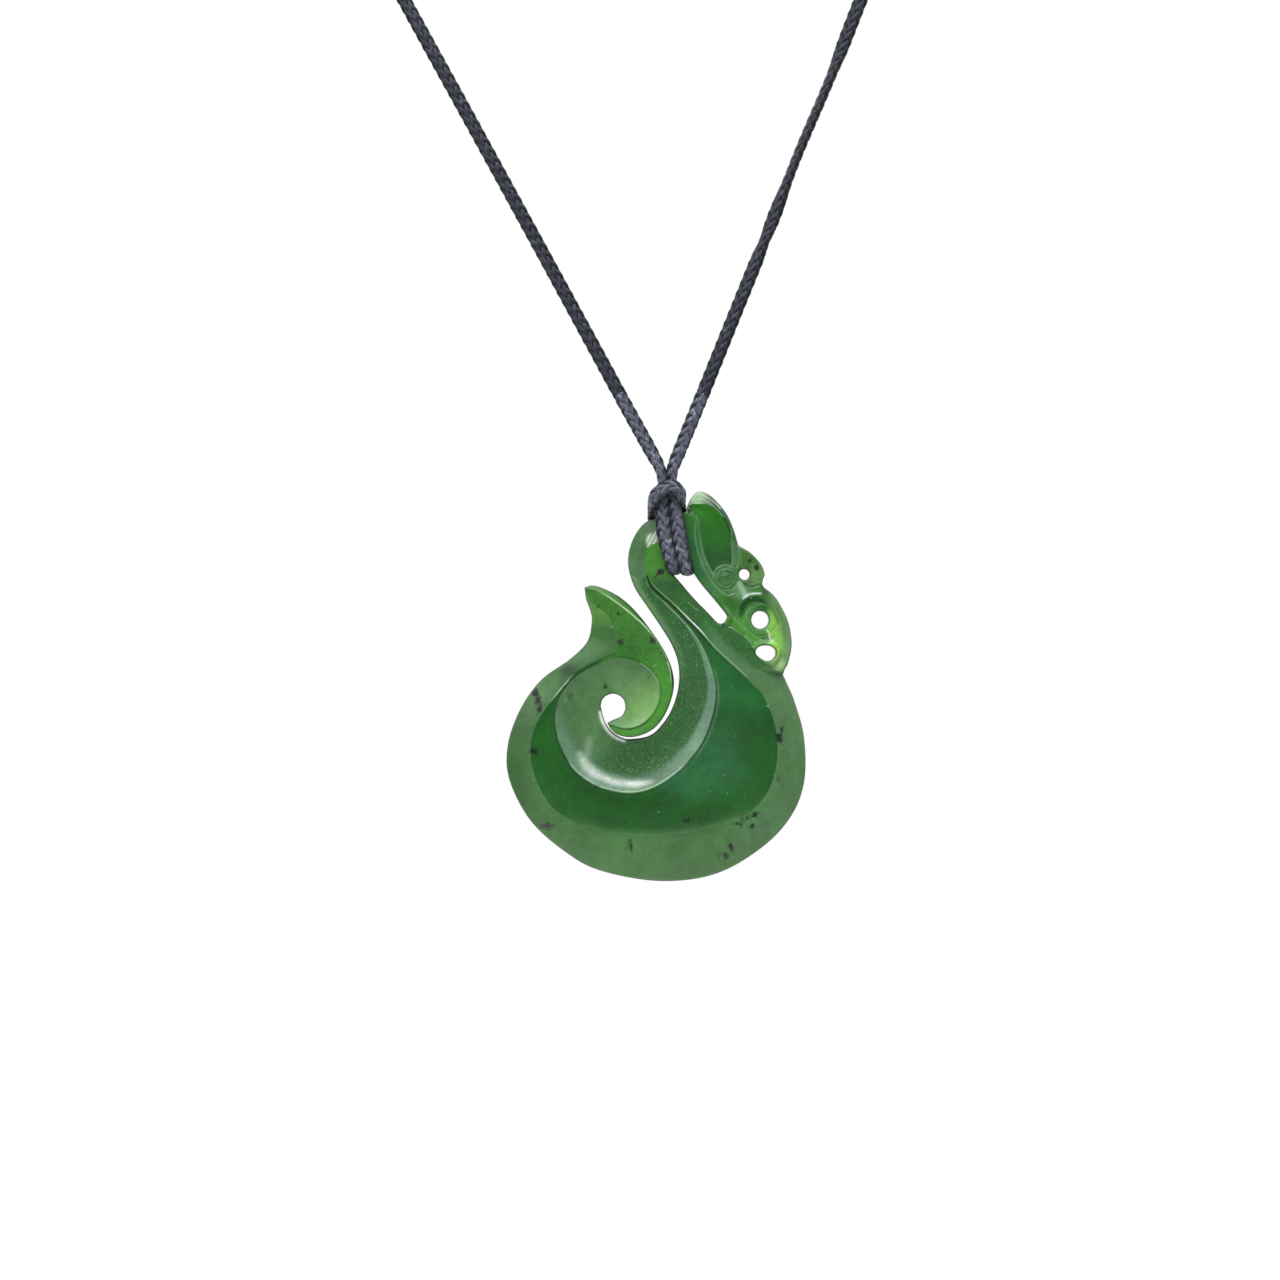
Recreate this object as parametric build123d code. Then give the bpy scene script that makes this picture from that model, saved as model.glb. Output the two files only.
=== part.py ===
from build123d import *
import math
import os

# A greenstone manaia pendant: one flat carved stone on a braided cord. The cord is tied to the
# stone's neck with a lark's head hitch and runs up in a loop to a knot at the nape.
# Millimetres. +X right, +Z up, and the carved face looks along -Y.
# The origin is the top of the loop, where the back of the neck carries it.

# Stone
stone_width = 42.8
stone_height = 55.9
stone_thickness = 6.0
rim_thickness = 3.2
neck_thickness = 4.4
stone_offset = -1.5

# Relief on the carved face
crescent_depth = 0.45
lobe_dish_width = 24.5
lobe_dish_depth = 0.9
koru_dish_width = 10.0
koru_dish_depth = 0.8
fin_facet_tilt = 8.0
panel_depth = 0.3
groove_depth = 0.25
groove_width = 0.55
eye_radius = 1.9
arm_groove_radius = 2.6

# Drilled holes
bump_hole_radius = 0.75
arm_hole_radius = 1.25
wrist_hole_width = 2.9
wrist_hole_height = 2.1
hole_bevel = 0.25

# Cord and hitch
cord_diameter = 2.0
cord_gap = 0.1
hang_drop = 146.0
band_drop = 4.4
band_rise = 3.6
band_squeeze = 0.8
leg_reach = 2.0
leg_share = 0.6
bend_share = 0.45

# Knot at the nape
knot_length = 8.0
knot_diameter = 4.4
knot_rounding = 1.1

# Places on the stone are shares: across from its middle by its width, up from its foot by its height.
bridge_up = 0.928
seat_share = (0.084, 0.8015)
koru_share = (-0.145, 0.449)
dish_share = (-0.110, 0.425)
lobe_back_share = (-0.300, 0.700)
eye_share = (0.231, 0.777)
bump_hole_share = (0.294, 0.787)
arm_hole_share = (0.347, 0.670)
wrist_hole_share = (0.365, 0.586)
taper_start_up = 0.50
taper_end_up = 0.78

# Outline of the stone, clockwise seen from the front, one list for each smooth stretch (across, up)
body_edge = [
    (-0.240, 0.754), (-0.235, 0.724), (-0.216, 0.665), (-0.231, 0.616), (-0.288, 0.570),
    (-0.385, 0.517), (-0.455, 0.442), (-0.497, 0.350), (-0.492, 0.261), (-0.422, 0.156),
    (-0.308, 0.077), (-0.188, 0.027), (0.012, 0.000), (0.196, 0.018), (0.346, 0.082),
    (0.447, 0.161), (0.495, 0.253), (0.495, 0.368), (0.463, 0.460), (0.425, 0.535),
]
arm_edge = [(0.425, 0.535), (0.440, 0.563), (0.451, 0.611), (0.440, 0.665), (0.406, 0.712), (0.356, 0.753)]
bump_edge = [(0.356, 0.753), (0.362, 0.783), (0.346, 0.816), (0.313, 0.845), (0.275, 0.861)]
head_edge = [
    (0.275, 0.861), (0.256, 0.908), (0.229, 0.949), (0.183, 0.988), (0.143, 1.000),
    (0.116, 0.982), (0.099, 0.954), (0.079, 0.928),
]
neck_edge = [
    (0.079, 0.928), (0.012, 0.932), (-0.041, 0.918), (-0.081, 0.872), (-0.095, 0.816),
    (-0.074, 0.757), (-0.028, 0.702), (0.012, 0.657), (0.052, 0.606), (0.074, 0.558),
    (0.076, 0.506), (0.059, 0.453), (0.026, 0.407), (-0.021, 0.373), (-0.088, 0.363),
    (-0.145, 0.373), (-0.175, 0.402), (-0.187, 0.448),
]
koru_arc = [(-0.187, 0.448), (-0.145, 0.481), (-0.103, 0.442)]
tongue_top_edge = [(-0.103, 0.442), (-0.116, 0.423), (-0.145, 0.413), (-0.163, 0.406)]
tongue_edge = [
    (-0.163, 0.406), (-0.151, 0.390), (-0.128, 0.376), (-0.088, 0.370), (-0.044, 0.377),
    (-0.004, 0.395), (0.029, 0.428), (0.052, 0.473), (0.059, 0.514), (0.046, 0.559),
    (0.012, 0.610), (-0.054, 0.680), (-0.115, 0.725), (-0.175, 0.751), (-0.215, 0.759),
    (-0.240, 0.754),
]

# Inner edge of the matte band round the body, where the bevel reaches full thickness (across, up)
band_edge = [
    (-0.240, 0.754), (-0.225, 0.719), (-0.201, 0.662), (-0.208, 0.606), (-0.265, 0.542),
    (-0.332, 0.486), (-0.385, 0.425), (-0.417, 0.343), (-0.408, 0.271), (-0.358, 0.202),
    (-0.278, 0.156), (-0.175, 0.125), (-0.001, 0.118), (0.166, 0.136), (0.293, 0.171),
    (0.363, 0.225), (0.403, 0.297), (0.403, 0.376), (0.390, 0.450), (0.425, 0.535),
]

# Polished crescent between the band and the spiral lobe (across, up)
crescent_outer = [
    (0.010, 0.735), (0.090, 0.682), (0.213, 0.585), (0.335, 0.480), (0.376, 0.424),
    (0.389, 0.353), (0.383, 0.275), (0.352, 0.234), (0.287, 0.184), (0.163, 0.149),
    (-0.001, 0.131), (-0.172, 0.138), (-0.270, 0.168), (-0.347, 0.210), (-0.394, 0.275),
    (-0.402, 0.343), (-0.384, 0.405), (-0.352, 0.453),
]
crescent_inner = [
    (-0.352, 0.453), (-0.338, 0.402), (-0.318, 0.343), (-0.275, 0.289), (-0.188, 0.243),
    (-0.068, 0.229), (0.029, 0.258), (0.116, 0.312), (0.179, 0.384), (0.199, 0.476),
    (0.189, 0.537), (0.153, 0.598), (0.106, 0.650), (0.058, 0.694), (0.010, 0.735),
]

# Leaf panel of the head and the slot that the cord passes through (across, up)
panel_left = [(0.139, 0.972), (0.136, 0.926), (0.146, 0.864), (0.166, 0.824), (0.193, 0.785)]
panel_right = [(0.193, 0.785), (0.226, 0.767), (0.260, 0.808), (0.253, 0.875), (0.233, 0.931), (0.193, 0.967),
               (0.139, 0.972)]
slot_left = [(0.039, 0.820), (0.034, 0.806), (0.049, 0.788), (0.093, 0.757), (0.119, 0.731),
             (0.153, 0.706), (0.198, 0.668)]
slot_right = [(0.233, 0.670), (0.236, 0.683), (0.199, 0.719), (0.153, 0.760), (0.139, 0.783),
              (0.134, 0.806), (0.125, 0.824)]
slot_foot = (0.216, 0.661)
slot_head = (0.082, 0.836)

# The fin's polished facet: its ridge runs from foot to top, and its other side lies in the open gap
facet_foot = (-0.131, 0.581)
facet_top = (-0.221, 0.747)
facet_side = [
    (-0.205, 0.790), (-0.120, 0.742), (-0.046, 0.692), (0.018, 0.629), (0.056, 0.566), (0.066, 0.510),
]

# Routes of the two cords from the hitch to the nape, chosen by hand (x, y, z)
left_route = [
    (-5.2, -3.0, -136.0), (-20.6, -2.0, -107.7), (-40.9, -1.2, -71.0), (-53.9, -0.6, -47.3),
    (-65.2, -0.2, -26.4), (-66.8, 0.0, -15.3), (-61.6, 0.0, -6.6), (-52.4, 0.0, -1.8),
    (-36.5, 0.0, -0.4), (-20.0, 0.0, 0.0), (-4.0, 0.0, 0.0),
]
right_route = [
    (3.9, -3.0, -136.0), (15.5, -2.0, -107.4), (30.2, -1.2, -71.0), (41.5, -0.6, -46.5),
    (52.0, -0.2, -26.6), (55.5, 0.0, -16.0), (52.3, 0.0, -7.2), (44.4, 0.0, -1.9),
    (30.5, 0.0, -0.4), (16.8, 0.0, 0.0), (4.0, 0.0, 0.0),
]

# Levels that follow from the sizes above
cord_radius = cord_diameter / 2
band_level = -hang_drop - band_drop
stone_foot = band_level - band_rise - bridge_up * stone_height
half_thickness = stone_thickness / 2
half_neck = neck_thickness / 2
strand_depth = half_neck + cord_gap + cord_radius
band_depth = strand_depth + band_squeeze * cord_diameter
strand_spacing = cord_diameter + cord_gap
drill_length = stone_thickness * 3


def spot(share, depth):
    # A share of the stone's width and height, as a point at the given y
    across, up = share
    return Vector(stone_offset + across * stone_width, depth, stone_foot + up * stone_height)


def face_depth(share):
    # How far the carved face stands from the middle plane at this share's height
    along = (share[1] - taper_start_up) / (taper_end_up - taper_start_up)
    return half_thickness + (half_neck - half_thickness) * min(max(along, 0), 1)


def smooth_edge(shares, depth):
    return Spline(*[spot(share, depth) for share in shares])


def stone_section(body_shares, depth):
    # The whole outline at one depth. The body's edge moves in towards the carved faces.
    edges = [smooth_edge(body_shares, depth)]
    for shares in (arm_edge, bump_edge, head_edge, neck_edge):
        edges.append(smooth_edge(shares, depth))
    edges.append(ThreePointArc(*[spot(share, depth) for share in koru_arc]))
    edges.append(smooth_edge(tongue_top_edge, depth))
    edges.append(smooth_edge(tongue_edge, depth))
    return make_face(edges)


def stone_blank():
    # Bevelled front and back, then thinned towards the neck and head by a tapered side profile
    sections = [
        stone_section(band_edge, -half_thickness),
        stone_section(body_edge, -rim_thickness / 2),
        stone_section(body_edge, rim_thickness / 2),
        stone_section(band_edge, half_thickness),
    ]
    blank = loft(sections, ruled=True)
    foot = stone_foot - stone_thickness
    taper_start = stone_foot + taper_start_up * stone_height
    taper_end = stone_foot + taper_end_up * stone_height
    top = stone_foot + stone_height + stone_thickness
    side_outline = [
        (stone_thickness, foot), (half_thickness, taper_start), (half_neck, taper_end), (half_neck, top),
    ]
    front = [(-stone_width, -depth, level) for depth, level in side_outline]
    back = [(-stone_width, depth, level) for depth, level in reversed(side_outline)]
    profile = Polyline(*front, *back, close=True)
    side = extrude(make_face(profile), amount=stone_width * 2, dir=(1, 0, 0))
    return blank & side


def pocket(edges, face, depth):
    # A straight pocket from in front of the stone, this deep under a face that stands this far out
    return extrude(make_face(edges), amount=stone_thickness - face + depth, dir=(0, 1, 0))


def front_edges(*stretches):
    # Stretches drawn in front of the stone, ready to be cut in
    return [smooth_edge(shares, -stone_thickness) for shares in stretches]


def crescent_pocket():
    return pocket(front_edges(crescent_outer, crescent_inner), half_thickness, crescent_depth)


def dish(share, width, depth):
    # A shallow round bowl, as the cap of a ball whose middle is in front of the stone
    radius = (width * width / 4 + depth * depth) / (2 * depth)
    return Pos(spot(share, depth - radius - half_thickness)) * Sphere(radius)


def fin_facet():
    # The fin's right side slopes back from a line between its tip and its foot
    corners = [facet_foot, facet_top, *facet_side]
    region = make_face(Polyline(*[spot(corner, -stone_thickness) for corner in corners], close=True))
    block = extrude(region, amount=stone_thickness, dir=(0, 1, 0))
    ridge = spot(facet_top, 0) - spot(facet_foot, 0)
    hinge_point = spot(facet_top, -face_depth(facet_top))
    tilted = Plane(origin=hinge_point, x_dir=ridge, z_dir=(0, -1, 0)).rotated((fin_facet_tilt, 0, 0))
    slab = tilted * Box(stone_height, stone_height, stone_thickness, align=(Align.CENTER, Align.CENTER, Align.MIN))
    return block & slab


def through_hole(share, radius):
    # A drilled hole with a small bevel at the carved face
    place = Plane(origin=spot(share, 0), z_dir=(0, -1, 0))
    bore = place * Cylinder(radius, drill_length)
    cone = place * Pos(0, 0, face_depth(share)) * Cone(radius, radius + 2 * hole_bevel, 2 * hole_bevel)
    return bore + cone


def wrist_hole():
    place = Plane(origin=spot(wrist_hole_share, 0), x_dir=(1, 0, 0), z_dir=(0, -1, 0))
    section = place * Ellipse(wrist_hole_width / 2, wrist_hole_height / 2)
    return extrude(section, amount=drill_length / 2, both=True)


def ring_groove(share, radius, width, depth):
    # A round engraved line
    place = Plane(origin=spot(share, -face_depth(share) - stone_thickness), z_dir=(0, 1, 0))
    ring = Circle(radius) - Circle(radius - width)
    return extrude(place * ring, amount=stone_thickness + depth)


def cord_slot():
    # Wide at its head, where two strands pass side by side, then a slanting slit with a round foot
    left = front_edges(slot_left)[0]
    right = front_edges(slot_right)[0]
    foot = ThreePointArc(left @ 1, spot(slot_foot, -stone_thickness), right @ 0)
    head = ThreePointArc(right @ 1, spot(slot_head, -stone_thickness), left @ 0)
    return extrude(make_face([left, foot, right, head]), amount=drill_length, dir=(0, 1, 0))


def bend_radii(points):
    # Each bend is as large as its two runs allow
    radii = []
    for before, corner, after in zip(points, points[1:], points[2:]):
        run_in = Vector(*corner) - Vector(*before)
        run_out = Vector(*after) - Vector(*corner)
        turn = math.radians(run_in.get_angle(run_out))
        radii.append(bend_share * min(run_in.length, run_out.length) / math.tan(turn / 2))
    return radii


def tube(points, diameter):
    path = FilletPolyline(*points, radius=bend_radii(points))
    section = Plane(origin=path @ 0, z_dir=path % 0) * Circle(diameter / 2)
    return sweep(section, path=path), path.length


def fork_point(route, strand_x):
    # Where the cord's first run, carried on downward, reaches the line of its front strand
    start = Vector(*route[0])
    along = start - Vector(*route[1])
    return start + along * ((strand_x - start.X) / along.X)


def hitch_routes():
    # The strand on each side runs down the front, through the slot and up the back to a leg.
    # The band joins the two legs over the stone's neck and across the front strands.
    seat = spot(seat_share, 0)
    legs = []
    routes = []
    for side, route in ((-1, left_route), (1, right_route)):
        strand_x = side * strand_spacing / 2
        leg_top = Vector(side * leg_reach, strand_depth, band_level - cord_radius / 2)
        turn_in = Vector(seat.X + strand_x, -strand_depth, seat.Z)
        turn_back = Vector(seat.X + strand_x, strand_depth, seat.Z)
        joint = turn_back + (leg_top - turn_back) * leg_share
        routes.append([Vector(*route[0]), fork_point(route, strand_x), turn_in, turn_back, joint])
        legs.append((joint, leg_top))
    (left_joint, left_top), (right_joint, right_top) = legs
    forward = Vector(0, -strand_depth - band_depth, cord_radius / 2)
    band = [left_joint, left_top, left_top + forward, right_top + forward, right_top, right_joint]
    return routes, band


def stone(seats):
    body = stone_blank()
    body -= crescent_pocket()
    lobe_back = [crescent_inner[-1], lobe_back_share, crescent_inner[0]]
    lobe = pocket(front_edges(crescent_inner, lobe_back), half_thickness, half_thickness)
    body -= lobe & dish(dish_share, lobe_dish_width, lobe_dish_depth)
    body -= dish(koru_share, koru_dish_width, lobe_dish_depth + koru_dish_depth)
    body -= fin_facet()
    body -= pocket(front_edges(panel_left, panel_right), half_neck, panel_depth)
    body -= ring_groove(eye_share, eye_radius, groove_width, panel_depth + groove_depth)
    body -= ring_groove(arm_hole_share, arm_groove_radius, groove_width, groove_depth)
    body -= through_hole(bump_hole_share, bump_hole_radius)
    body -= through_hole(arm_hole_share, arm_hole_radius)
    body -= wrist_hole()
    body -= cord_slot()
    for seat in seats:
        body -= seat
    return body


def nape_knot():
    barrel = Plane.YZ * Cylinder(knot_diameter / 2, knot_length)
    return fillet(barrel.edges(), knot_rounding)


os.makedirs("parts", exist_ok=True)

strand_routes, band_route = hitch_routes()
pieces = {}
lengths = {}
pieces["left_cord"], lengths["left_cord"] = tube(left_route, cord_diameter)
pieces["right_cord"], lengths["right_cord"] = tube(right_route, cord_diameter)
hitch_tubes = [tube(route, cord_diameter) for route in (*strand_routes, band_route)]
hitch_seats = [tube(route, cord_diameter + 2 * cord_gap)[0] for route in strand_routes]
pieces["cord_hitch"] = hitch_tubes[0][0] + hitch_tubes[1][0] + hitch_tubes[2][0]
lengths["cord_hitch"] = sum(length for _, length in hitch_tubes)
pieces["nape_knot"] = nape_knot()
pieces["greenstone_manaia"] = stone(hitch_seats)

for name, route in (("left_cord", left_route), ("right_cord", right_route), ("band", band_route),
                    ("left strand", strand_routes[0]), ("right strand", strand_routes[1])):
    print(name, "bend radii", [round(radius, 1) for radius in bend_radii(route)])

section_area = math.pi * cord_radius ** 2
for name, length in lengths.items():
    print(name, "length", round(length, 1), "volume", round(pieces[name].volume, 1),
          "section times length", round(section_area * length, 1))

for name, piece in pieces.items():
    export_step(piece, f"parts/{name}.step")
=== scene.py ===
import bpy
import math
import numpy as np
from mathutils.geometry import delaunay_2d_cdt
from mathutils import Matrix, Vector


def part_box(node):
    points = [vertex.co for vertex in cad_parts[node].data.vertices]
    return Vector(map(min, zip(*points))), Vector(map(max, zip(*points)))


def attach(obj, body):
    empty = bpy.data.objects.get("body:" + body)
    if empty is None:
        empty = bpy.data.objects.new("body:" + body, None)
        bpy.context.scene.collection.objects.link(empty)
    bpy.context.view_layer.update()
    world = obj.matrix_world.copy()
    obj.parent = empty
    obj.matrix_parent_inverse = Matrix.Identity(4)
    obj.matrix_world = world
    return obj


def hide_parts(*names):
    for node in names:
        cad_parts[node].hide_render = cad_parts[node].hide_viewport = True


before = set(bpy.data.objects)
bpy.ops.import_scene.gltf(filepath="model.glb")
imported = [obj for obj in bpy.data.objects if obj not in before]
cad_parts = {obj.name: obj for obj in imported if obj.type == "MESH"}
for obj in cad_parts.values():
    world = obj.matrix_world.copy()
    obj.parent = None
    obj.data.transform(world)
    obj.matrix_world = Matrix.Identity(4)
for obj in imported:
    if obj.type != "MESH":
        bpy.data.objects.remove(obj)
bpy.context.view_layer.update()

# Greenstone manaia pendant on a braided cord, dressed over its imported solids.
# Metres, the solids' own frame: +X right, +Z up, the carved face looks along -Y.

stoneLow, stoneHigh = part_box("greenstone_manaia")
scene = bpy.context.scene
mm = 0.001

# The photo's pixels are tied to the stone: its left, right, top and foot edges there and in the frame.
photo = {"left": 506.6, "right": 806.0, "top": 491.0, "foot": 882.0, "wide": 1280.0}
pixel = (stoneHigh[0] - stoneLow[0]) / (photo["right"] - photo["left"])


def fromPhoto(points):
    # Photo pixels to metres: straight across by the stone's width, straight up by its height
    points = np.asarray(points, float)
    across = (points[..., 0] - photo["left"]) / (photo["right"] - photo["left"])
    up = (photo["foot"] - points[..., 1]) / (photo["foot"] - photo["top"])
    x = stoneLow[0] + across * (stoneHigh[0] - stoneLow[0])
    z = stoneLow[2] + up * (stoneHigh[2] - stoneLow[2])
    return np.stack([x, z], -1)


def px(points):
    # Photo pixels to millimetres
    return fromPhoto(points) / mm


def toPhoto(points):
    # Millimetres back to photo pixels by the same straight rule; y runs downwards
    first, second = px([(0, 0), (1000, 1000)])
    return ((points - first) / (second - first) * 1000).T


def addMesh(name, verts, faces, material, uvs=None):
    # A mesh object from whole arrays; faces is an (n, 3) or (n, 4) array
    mesh = bpy.data.meshes.new(name)
    mesh.from_pydata(np.asarray(verts).tolist(), [], np.asarray(faces).tolist())
    mesh.polygons.foreach_set("use_smooth", np.ones(len(mesh.polygons), bool))
    if uvs is not None:
        layer = mesh.uv_layers.new(name="along")
        corner = np.zeros(len(mesh.loops), np.int32)
        mesh.loops.foreach_get("vertex_index", corner)
        layer.data.foreach_set("uv", np.asarray(uvs)[corner].astype(np.float32).ravel())
    mesh.materials.append(material)
    obj = bpy.data.objects.new(name, mesh)
    scene.collection.objects.link(obj)
    return obj


# Small helpers for node trees
def newMaterial(name):
    material = bpy.data.materials.new(name)
    material.use_nodes = True
    tree = material.node_tree
    return material, tree, tree.nodes["Principled BSDF"]


def addNode(tree, kind, **settings):
    node = tree.nodes.new(kind)
    for key, value in settings.items():
        if key in node.inputs:
            node.inputs[key].default_value = value
        else:
            setattr(node, key, value)
    return node


def mixColour(tree, factor, first, second, blend="MIX"):
    # Mixes two colours, each a socket or a tuple, by a socket or a number
    node = tree.nodes.new("ShaderNodeMix")
    node.data_type = "RGBA"
    node.blend_type = blend
    for socket, value in ((node.inputs[0], factor), (node.inputs[6], first), (node.inputs[7], second)):
        if isinstance(value, bpy.types.NodeSocket):
            tree.links.new(value, socket)
        elif isinstance(value, (int, float)):
            socket.default_value = value
        else:
            socket.default_value = (*value, 1.0)
    return node.outputs[2]


def doMath(tree, operation, first, second=0.0):
    node = tree.nodes.new("ShaderNodeMath")
    node.operation = operation
    for socket, value in ((node.inputs[0], first), (node.inputs[1], second)):
        if isinstance(value, bpy.types.NodeSocket):
            tree.links.new(value, socket)
        else:
            socket.default_value = value
    return node.outputs[0]


def ramp(tree, source, low, high, toLow=0.0, toHigh=1.0):
    node = addNode(tree, "ShaderNodeMapRange")
    tree.links.new(source, node.inputs[0])
    for socket, value in zip(node.inputs[1:5], (low, high, toLow, toHigh)):
        socket.default_value = value
    return node.outputs[0]


def noise(tree, place, scale, detail=2.0, roughness=0.5):
    node = addNode(tree, "ShaderNodeTexNoise", Scale=scale, Detail=detail, Roughness=roughness)
    tree.links.new(place, node.inputs["Vector"])
    return node.outputs["Fac"]


# The cord
# Route points are the part's own, in millimetres, from the hitch's fork into the knot at the nape
cord = {
    "width": 2.0,
    "thick": 1.25,
    "pitch": 9.3,
    "strands": 6,
    "strandWide": 0.70,
    "strandThick": 0.34,
    "lift": 0.10,
    "ringStep": 0.19,
    "sides": 6,
    "kink": 0.16,
    "kinkHeight": -96.0,
    "kinkWave": 4.6,
    "kinkReach": 16.0,
    "leftRoute": [
        (-6.8, -3.0, -136.0), (-22.1, -2.0, -107.7), (-42.3, -1.2, -71.0), (-54.8, -0.6, -47.3),
        (-65.2, -0.2, -26.4), (-66.8, 0.0, -15.3), (-61.6, 0.0, -6.6), (-52.4, 0.0, -1.8),
        (-36.5, 0.0, -0.4), (-20.0, 0.0, 0.0), (-2.6, 0.0, 0.0),
    ],
    "rightRoute": [
        (5.2, -3.0, -136.0), (16.7, -2.0, -107.4), (31.2, -1.2, -71.0), (42.0, -0.6, -46.5),
        (52.0, -0.2, -26.6), (55.5, 0.0, -16.0), (52.3, 0.0, -7.2), (44.4, 0.0, -1.9), (30.5, 0.0, -0.4),
        (16.8, 0.0, 0.0), (2.6, 0.0, 0.0),
    ],
}


def smoothLine(route):
    # The route's NURBS spline, read back as points; the braid spaces them evenly
    curve = bpy.data.curves.new("route", "CURVE")
    curve.dimensions = "3D"
    curve.resolution_u = 40
    spline = curve.splines.new("NURBS")
    spline.points.add(len(route) - 1)
    places = np.c_[np.array(route) * mm, np.ones(len(route))]
    spline.points.foreach_set("co", places.astype(np.float32).ravel())
    spline.order_u = 3
    spline.use_endpoint_u = True
    holder = bpy.data.objects.new("route", curve)
    scene.collection.objects.link(holder)
    mesh = bpy.data.meshes.new_from_object(holder)
    line = np.zeros(len(mesh.vertices) * 3)
    mesh.vertices.foreach_get("co", line)
    line = line.reshape(-1, 3)
    bpy.data.objects.remove(holder)
    bpy.data.curves.remove(curve)
    bpy.data.meshes.remove(mesh)
    return line


def evenLine(line, step):
    # Points a fixed step apart along a line, with the arc length at each
    run = np.r_[0, np.cumsum(np.linalg.norm(np.diff(line, axis=0), axis=1))]
    count = max(int(run[-1] / step), 8) + 1
    along = np.linspace(0, run[-1], count)
    return np.stack([np.interp(along, run, line[:, k]) for k in range(3)], 1), along


def unit(vectors):
    return vectors / np.maximum(np.linalg.norm(vectors, axis=-1, keepdims=True), 1e-12)


def gridFaces(rings, sides, start=0):
    # Quads of a closed tube with this many rings and sides
    ring = np.arange(rings - 1)[:, None] * sides
    side = np.arange(sides)[None, :]
    after = (side + 1) % sides
    quads = np.stack([ring + side, ring + after, ring + sides + after, ring + sides + side], -1)
    return quads.reshape(-1, 4) + start


def tubeFaces(rings, sides, start):
    # The tube's quads, and a flat end at each side, cut into quads that share the ring's first point
    step = np.arange(1, sides - 2, 2)
    end = np.stack([0 * step, step, step + 1, step + 2], 1)
    last = start + (rings - 1) * sides
    return np.concatenate([gridFaces(rings, sides, start), end[:, ::-1] + start, end + last])


def braid(name, line, wideway, material, widen=None):
    # A flat braid. Each strand winds round an oval at an even pitch, as many one way as the other.
    # It rises and sinks by a cosine of that angle times half their number: over two strands, under two.
    # Each strand is a flattened tube, its ring an ellipse lying along the oval.
    line, along = evenLine(line, cord["ringStep"] * mm)
    way = unit(np.gradient(line, axis=0))
    wide = wideway(along, way, line)
    wide = unit(wide - (wide * way).sum(1, keepdims=True) * way)
    thick = np.cross(way, wide)
    widen = np.ones(len(along)) if widen is None else widen(along)
    proud = cord["strandThick"] / 2 + cord["lift"] * 0.7
    halfWide = (cord["width"] / 2 - proud) * mm * widen
    halfThick = (cord["thick"] / 2 - proud) * mm / widen
    turn = 2 * math.pi * along / (cord["pitch"] * mm)
    angles = np.arange(cord["sides"]) * 2 * math.pi / cord["sides"]
    verts, faces, uvs, flanks = [], [], [], []
    count = 0
    for direction in (1, -1):
        for strand in range(cord["strands"]):
            theta = direction * turn + 2 * math.pi * strand / cord["strands"]
            rise = direction * turn * cord["strands"] / 2 + math.pi * strand + math.pi / 4
            weave = direction * np.cos(rise)
            lift = cord["lift"] * mm * weave
            cos, sin = np.cos(theta), np.sin(theta)
            outward = unit(wide * (halfThick * cos)[:, None] + thick * (halfWide * sin)[:, None])
            centre = line + wide * (halfWide * cos)[:, None] + thick * (halfThick * sin)[:, None]
            centre = centre + outward * lift[:, None]
            heading = unit(np.gradient(centre, axis=0))
            flat = unit(np.cross(outward, heading))
            outward = np.cross(heading, flat)
            ring = (centre[:, None, :]
                    + flat[:, None, :] * (np.cos(angles) * cord["strandWide"] / 2 * mm)[None, :, None]
                    + outward[:, None, :] * (np.sin(angles) * cord["strandThick"] / 2 * mm)[None, :, None])
            verts.append(ring.reshape(-1, 3))
            faces.append(tubeFaces(len(line), cord["sides"], count))
            around = np.broadcast_to(np.arange(cord["sides"]) / cord["sides"], ring.shape[:2])
            lengthwise = np.broadcast_to((along / mm + 7.0 * strand)[:, None], ring.shape[:2])
            uvs.append(np.stack([lengthwise, around + strand], -1).reshape(-1, 2))
            flanks.append(np.repeat(np.abs(cos), cord["sides"]))
            count += ring.shape[0] * ring.shape[1]
    # A dark core under the strands, painted shade between them: its flank value of one darkens it fully in
    # the material
    core = (line[:, None, :]
            + wide[:, None, :] * (np.cos(angles)[None, :] * halfWide[:, None] * 0.9)[..., None]
            + thick[:, None, :] * (np.sin(angles)[None, :] * halfThick[:, None] * 0.9)[..., None])
    verts.append(core.reshape(-1, 3))
    faces.append(tubeFaces(len(line), cord["sides"], count))
    uvs.append(np.full((core.shape[0] * core.shape[1], 2), -5.0))
    flanks.append(np.full(core.shape[0] * core.shape[1], 1.0))
    piece = addMesh(name, np.concatenate(verts), np.concatenate(faces), material, np.concatenate(uvs))
    flankShade = piece.data.attributes.new("flankShade", "FLOAT", "POINT")
    flankShade.data.foreach_set("value", np.concatenate(flanks).astype(np.float32))
    return piece, line, along[-1]


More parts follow.
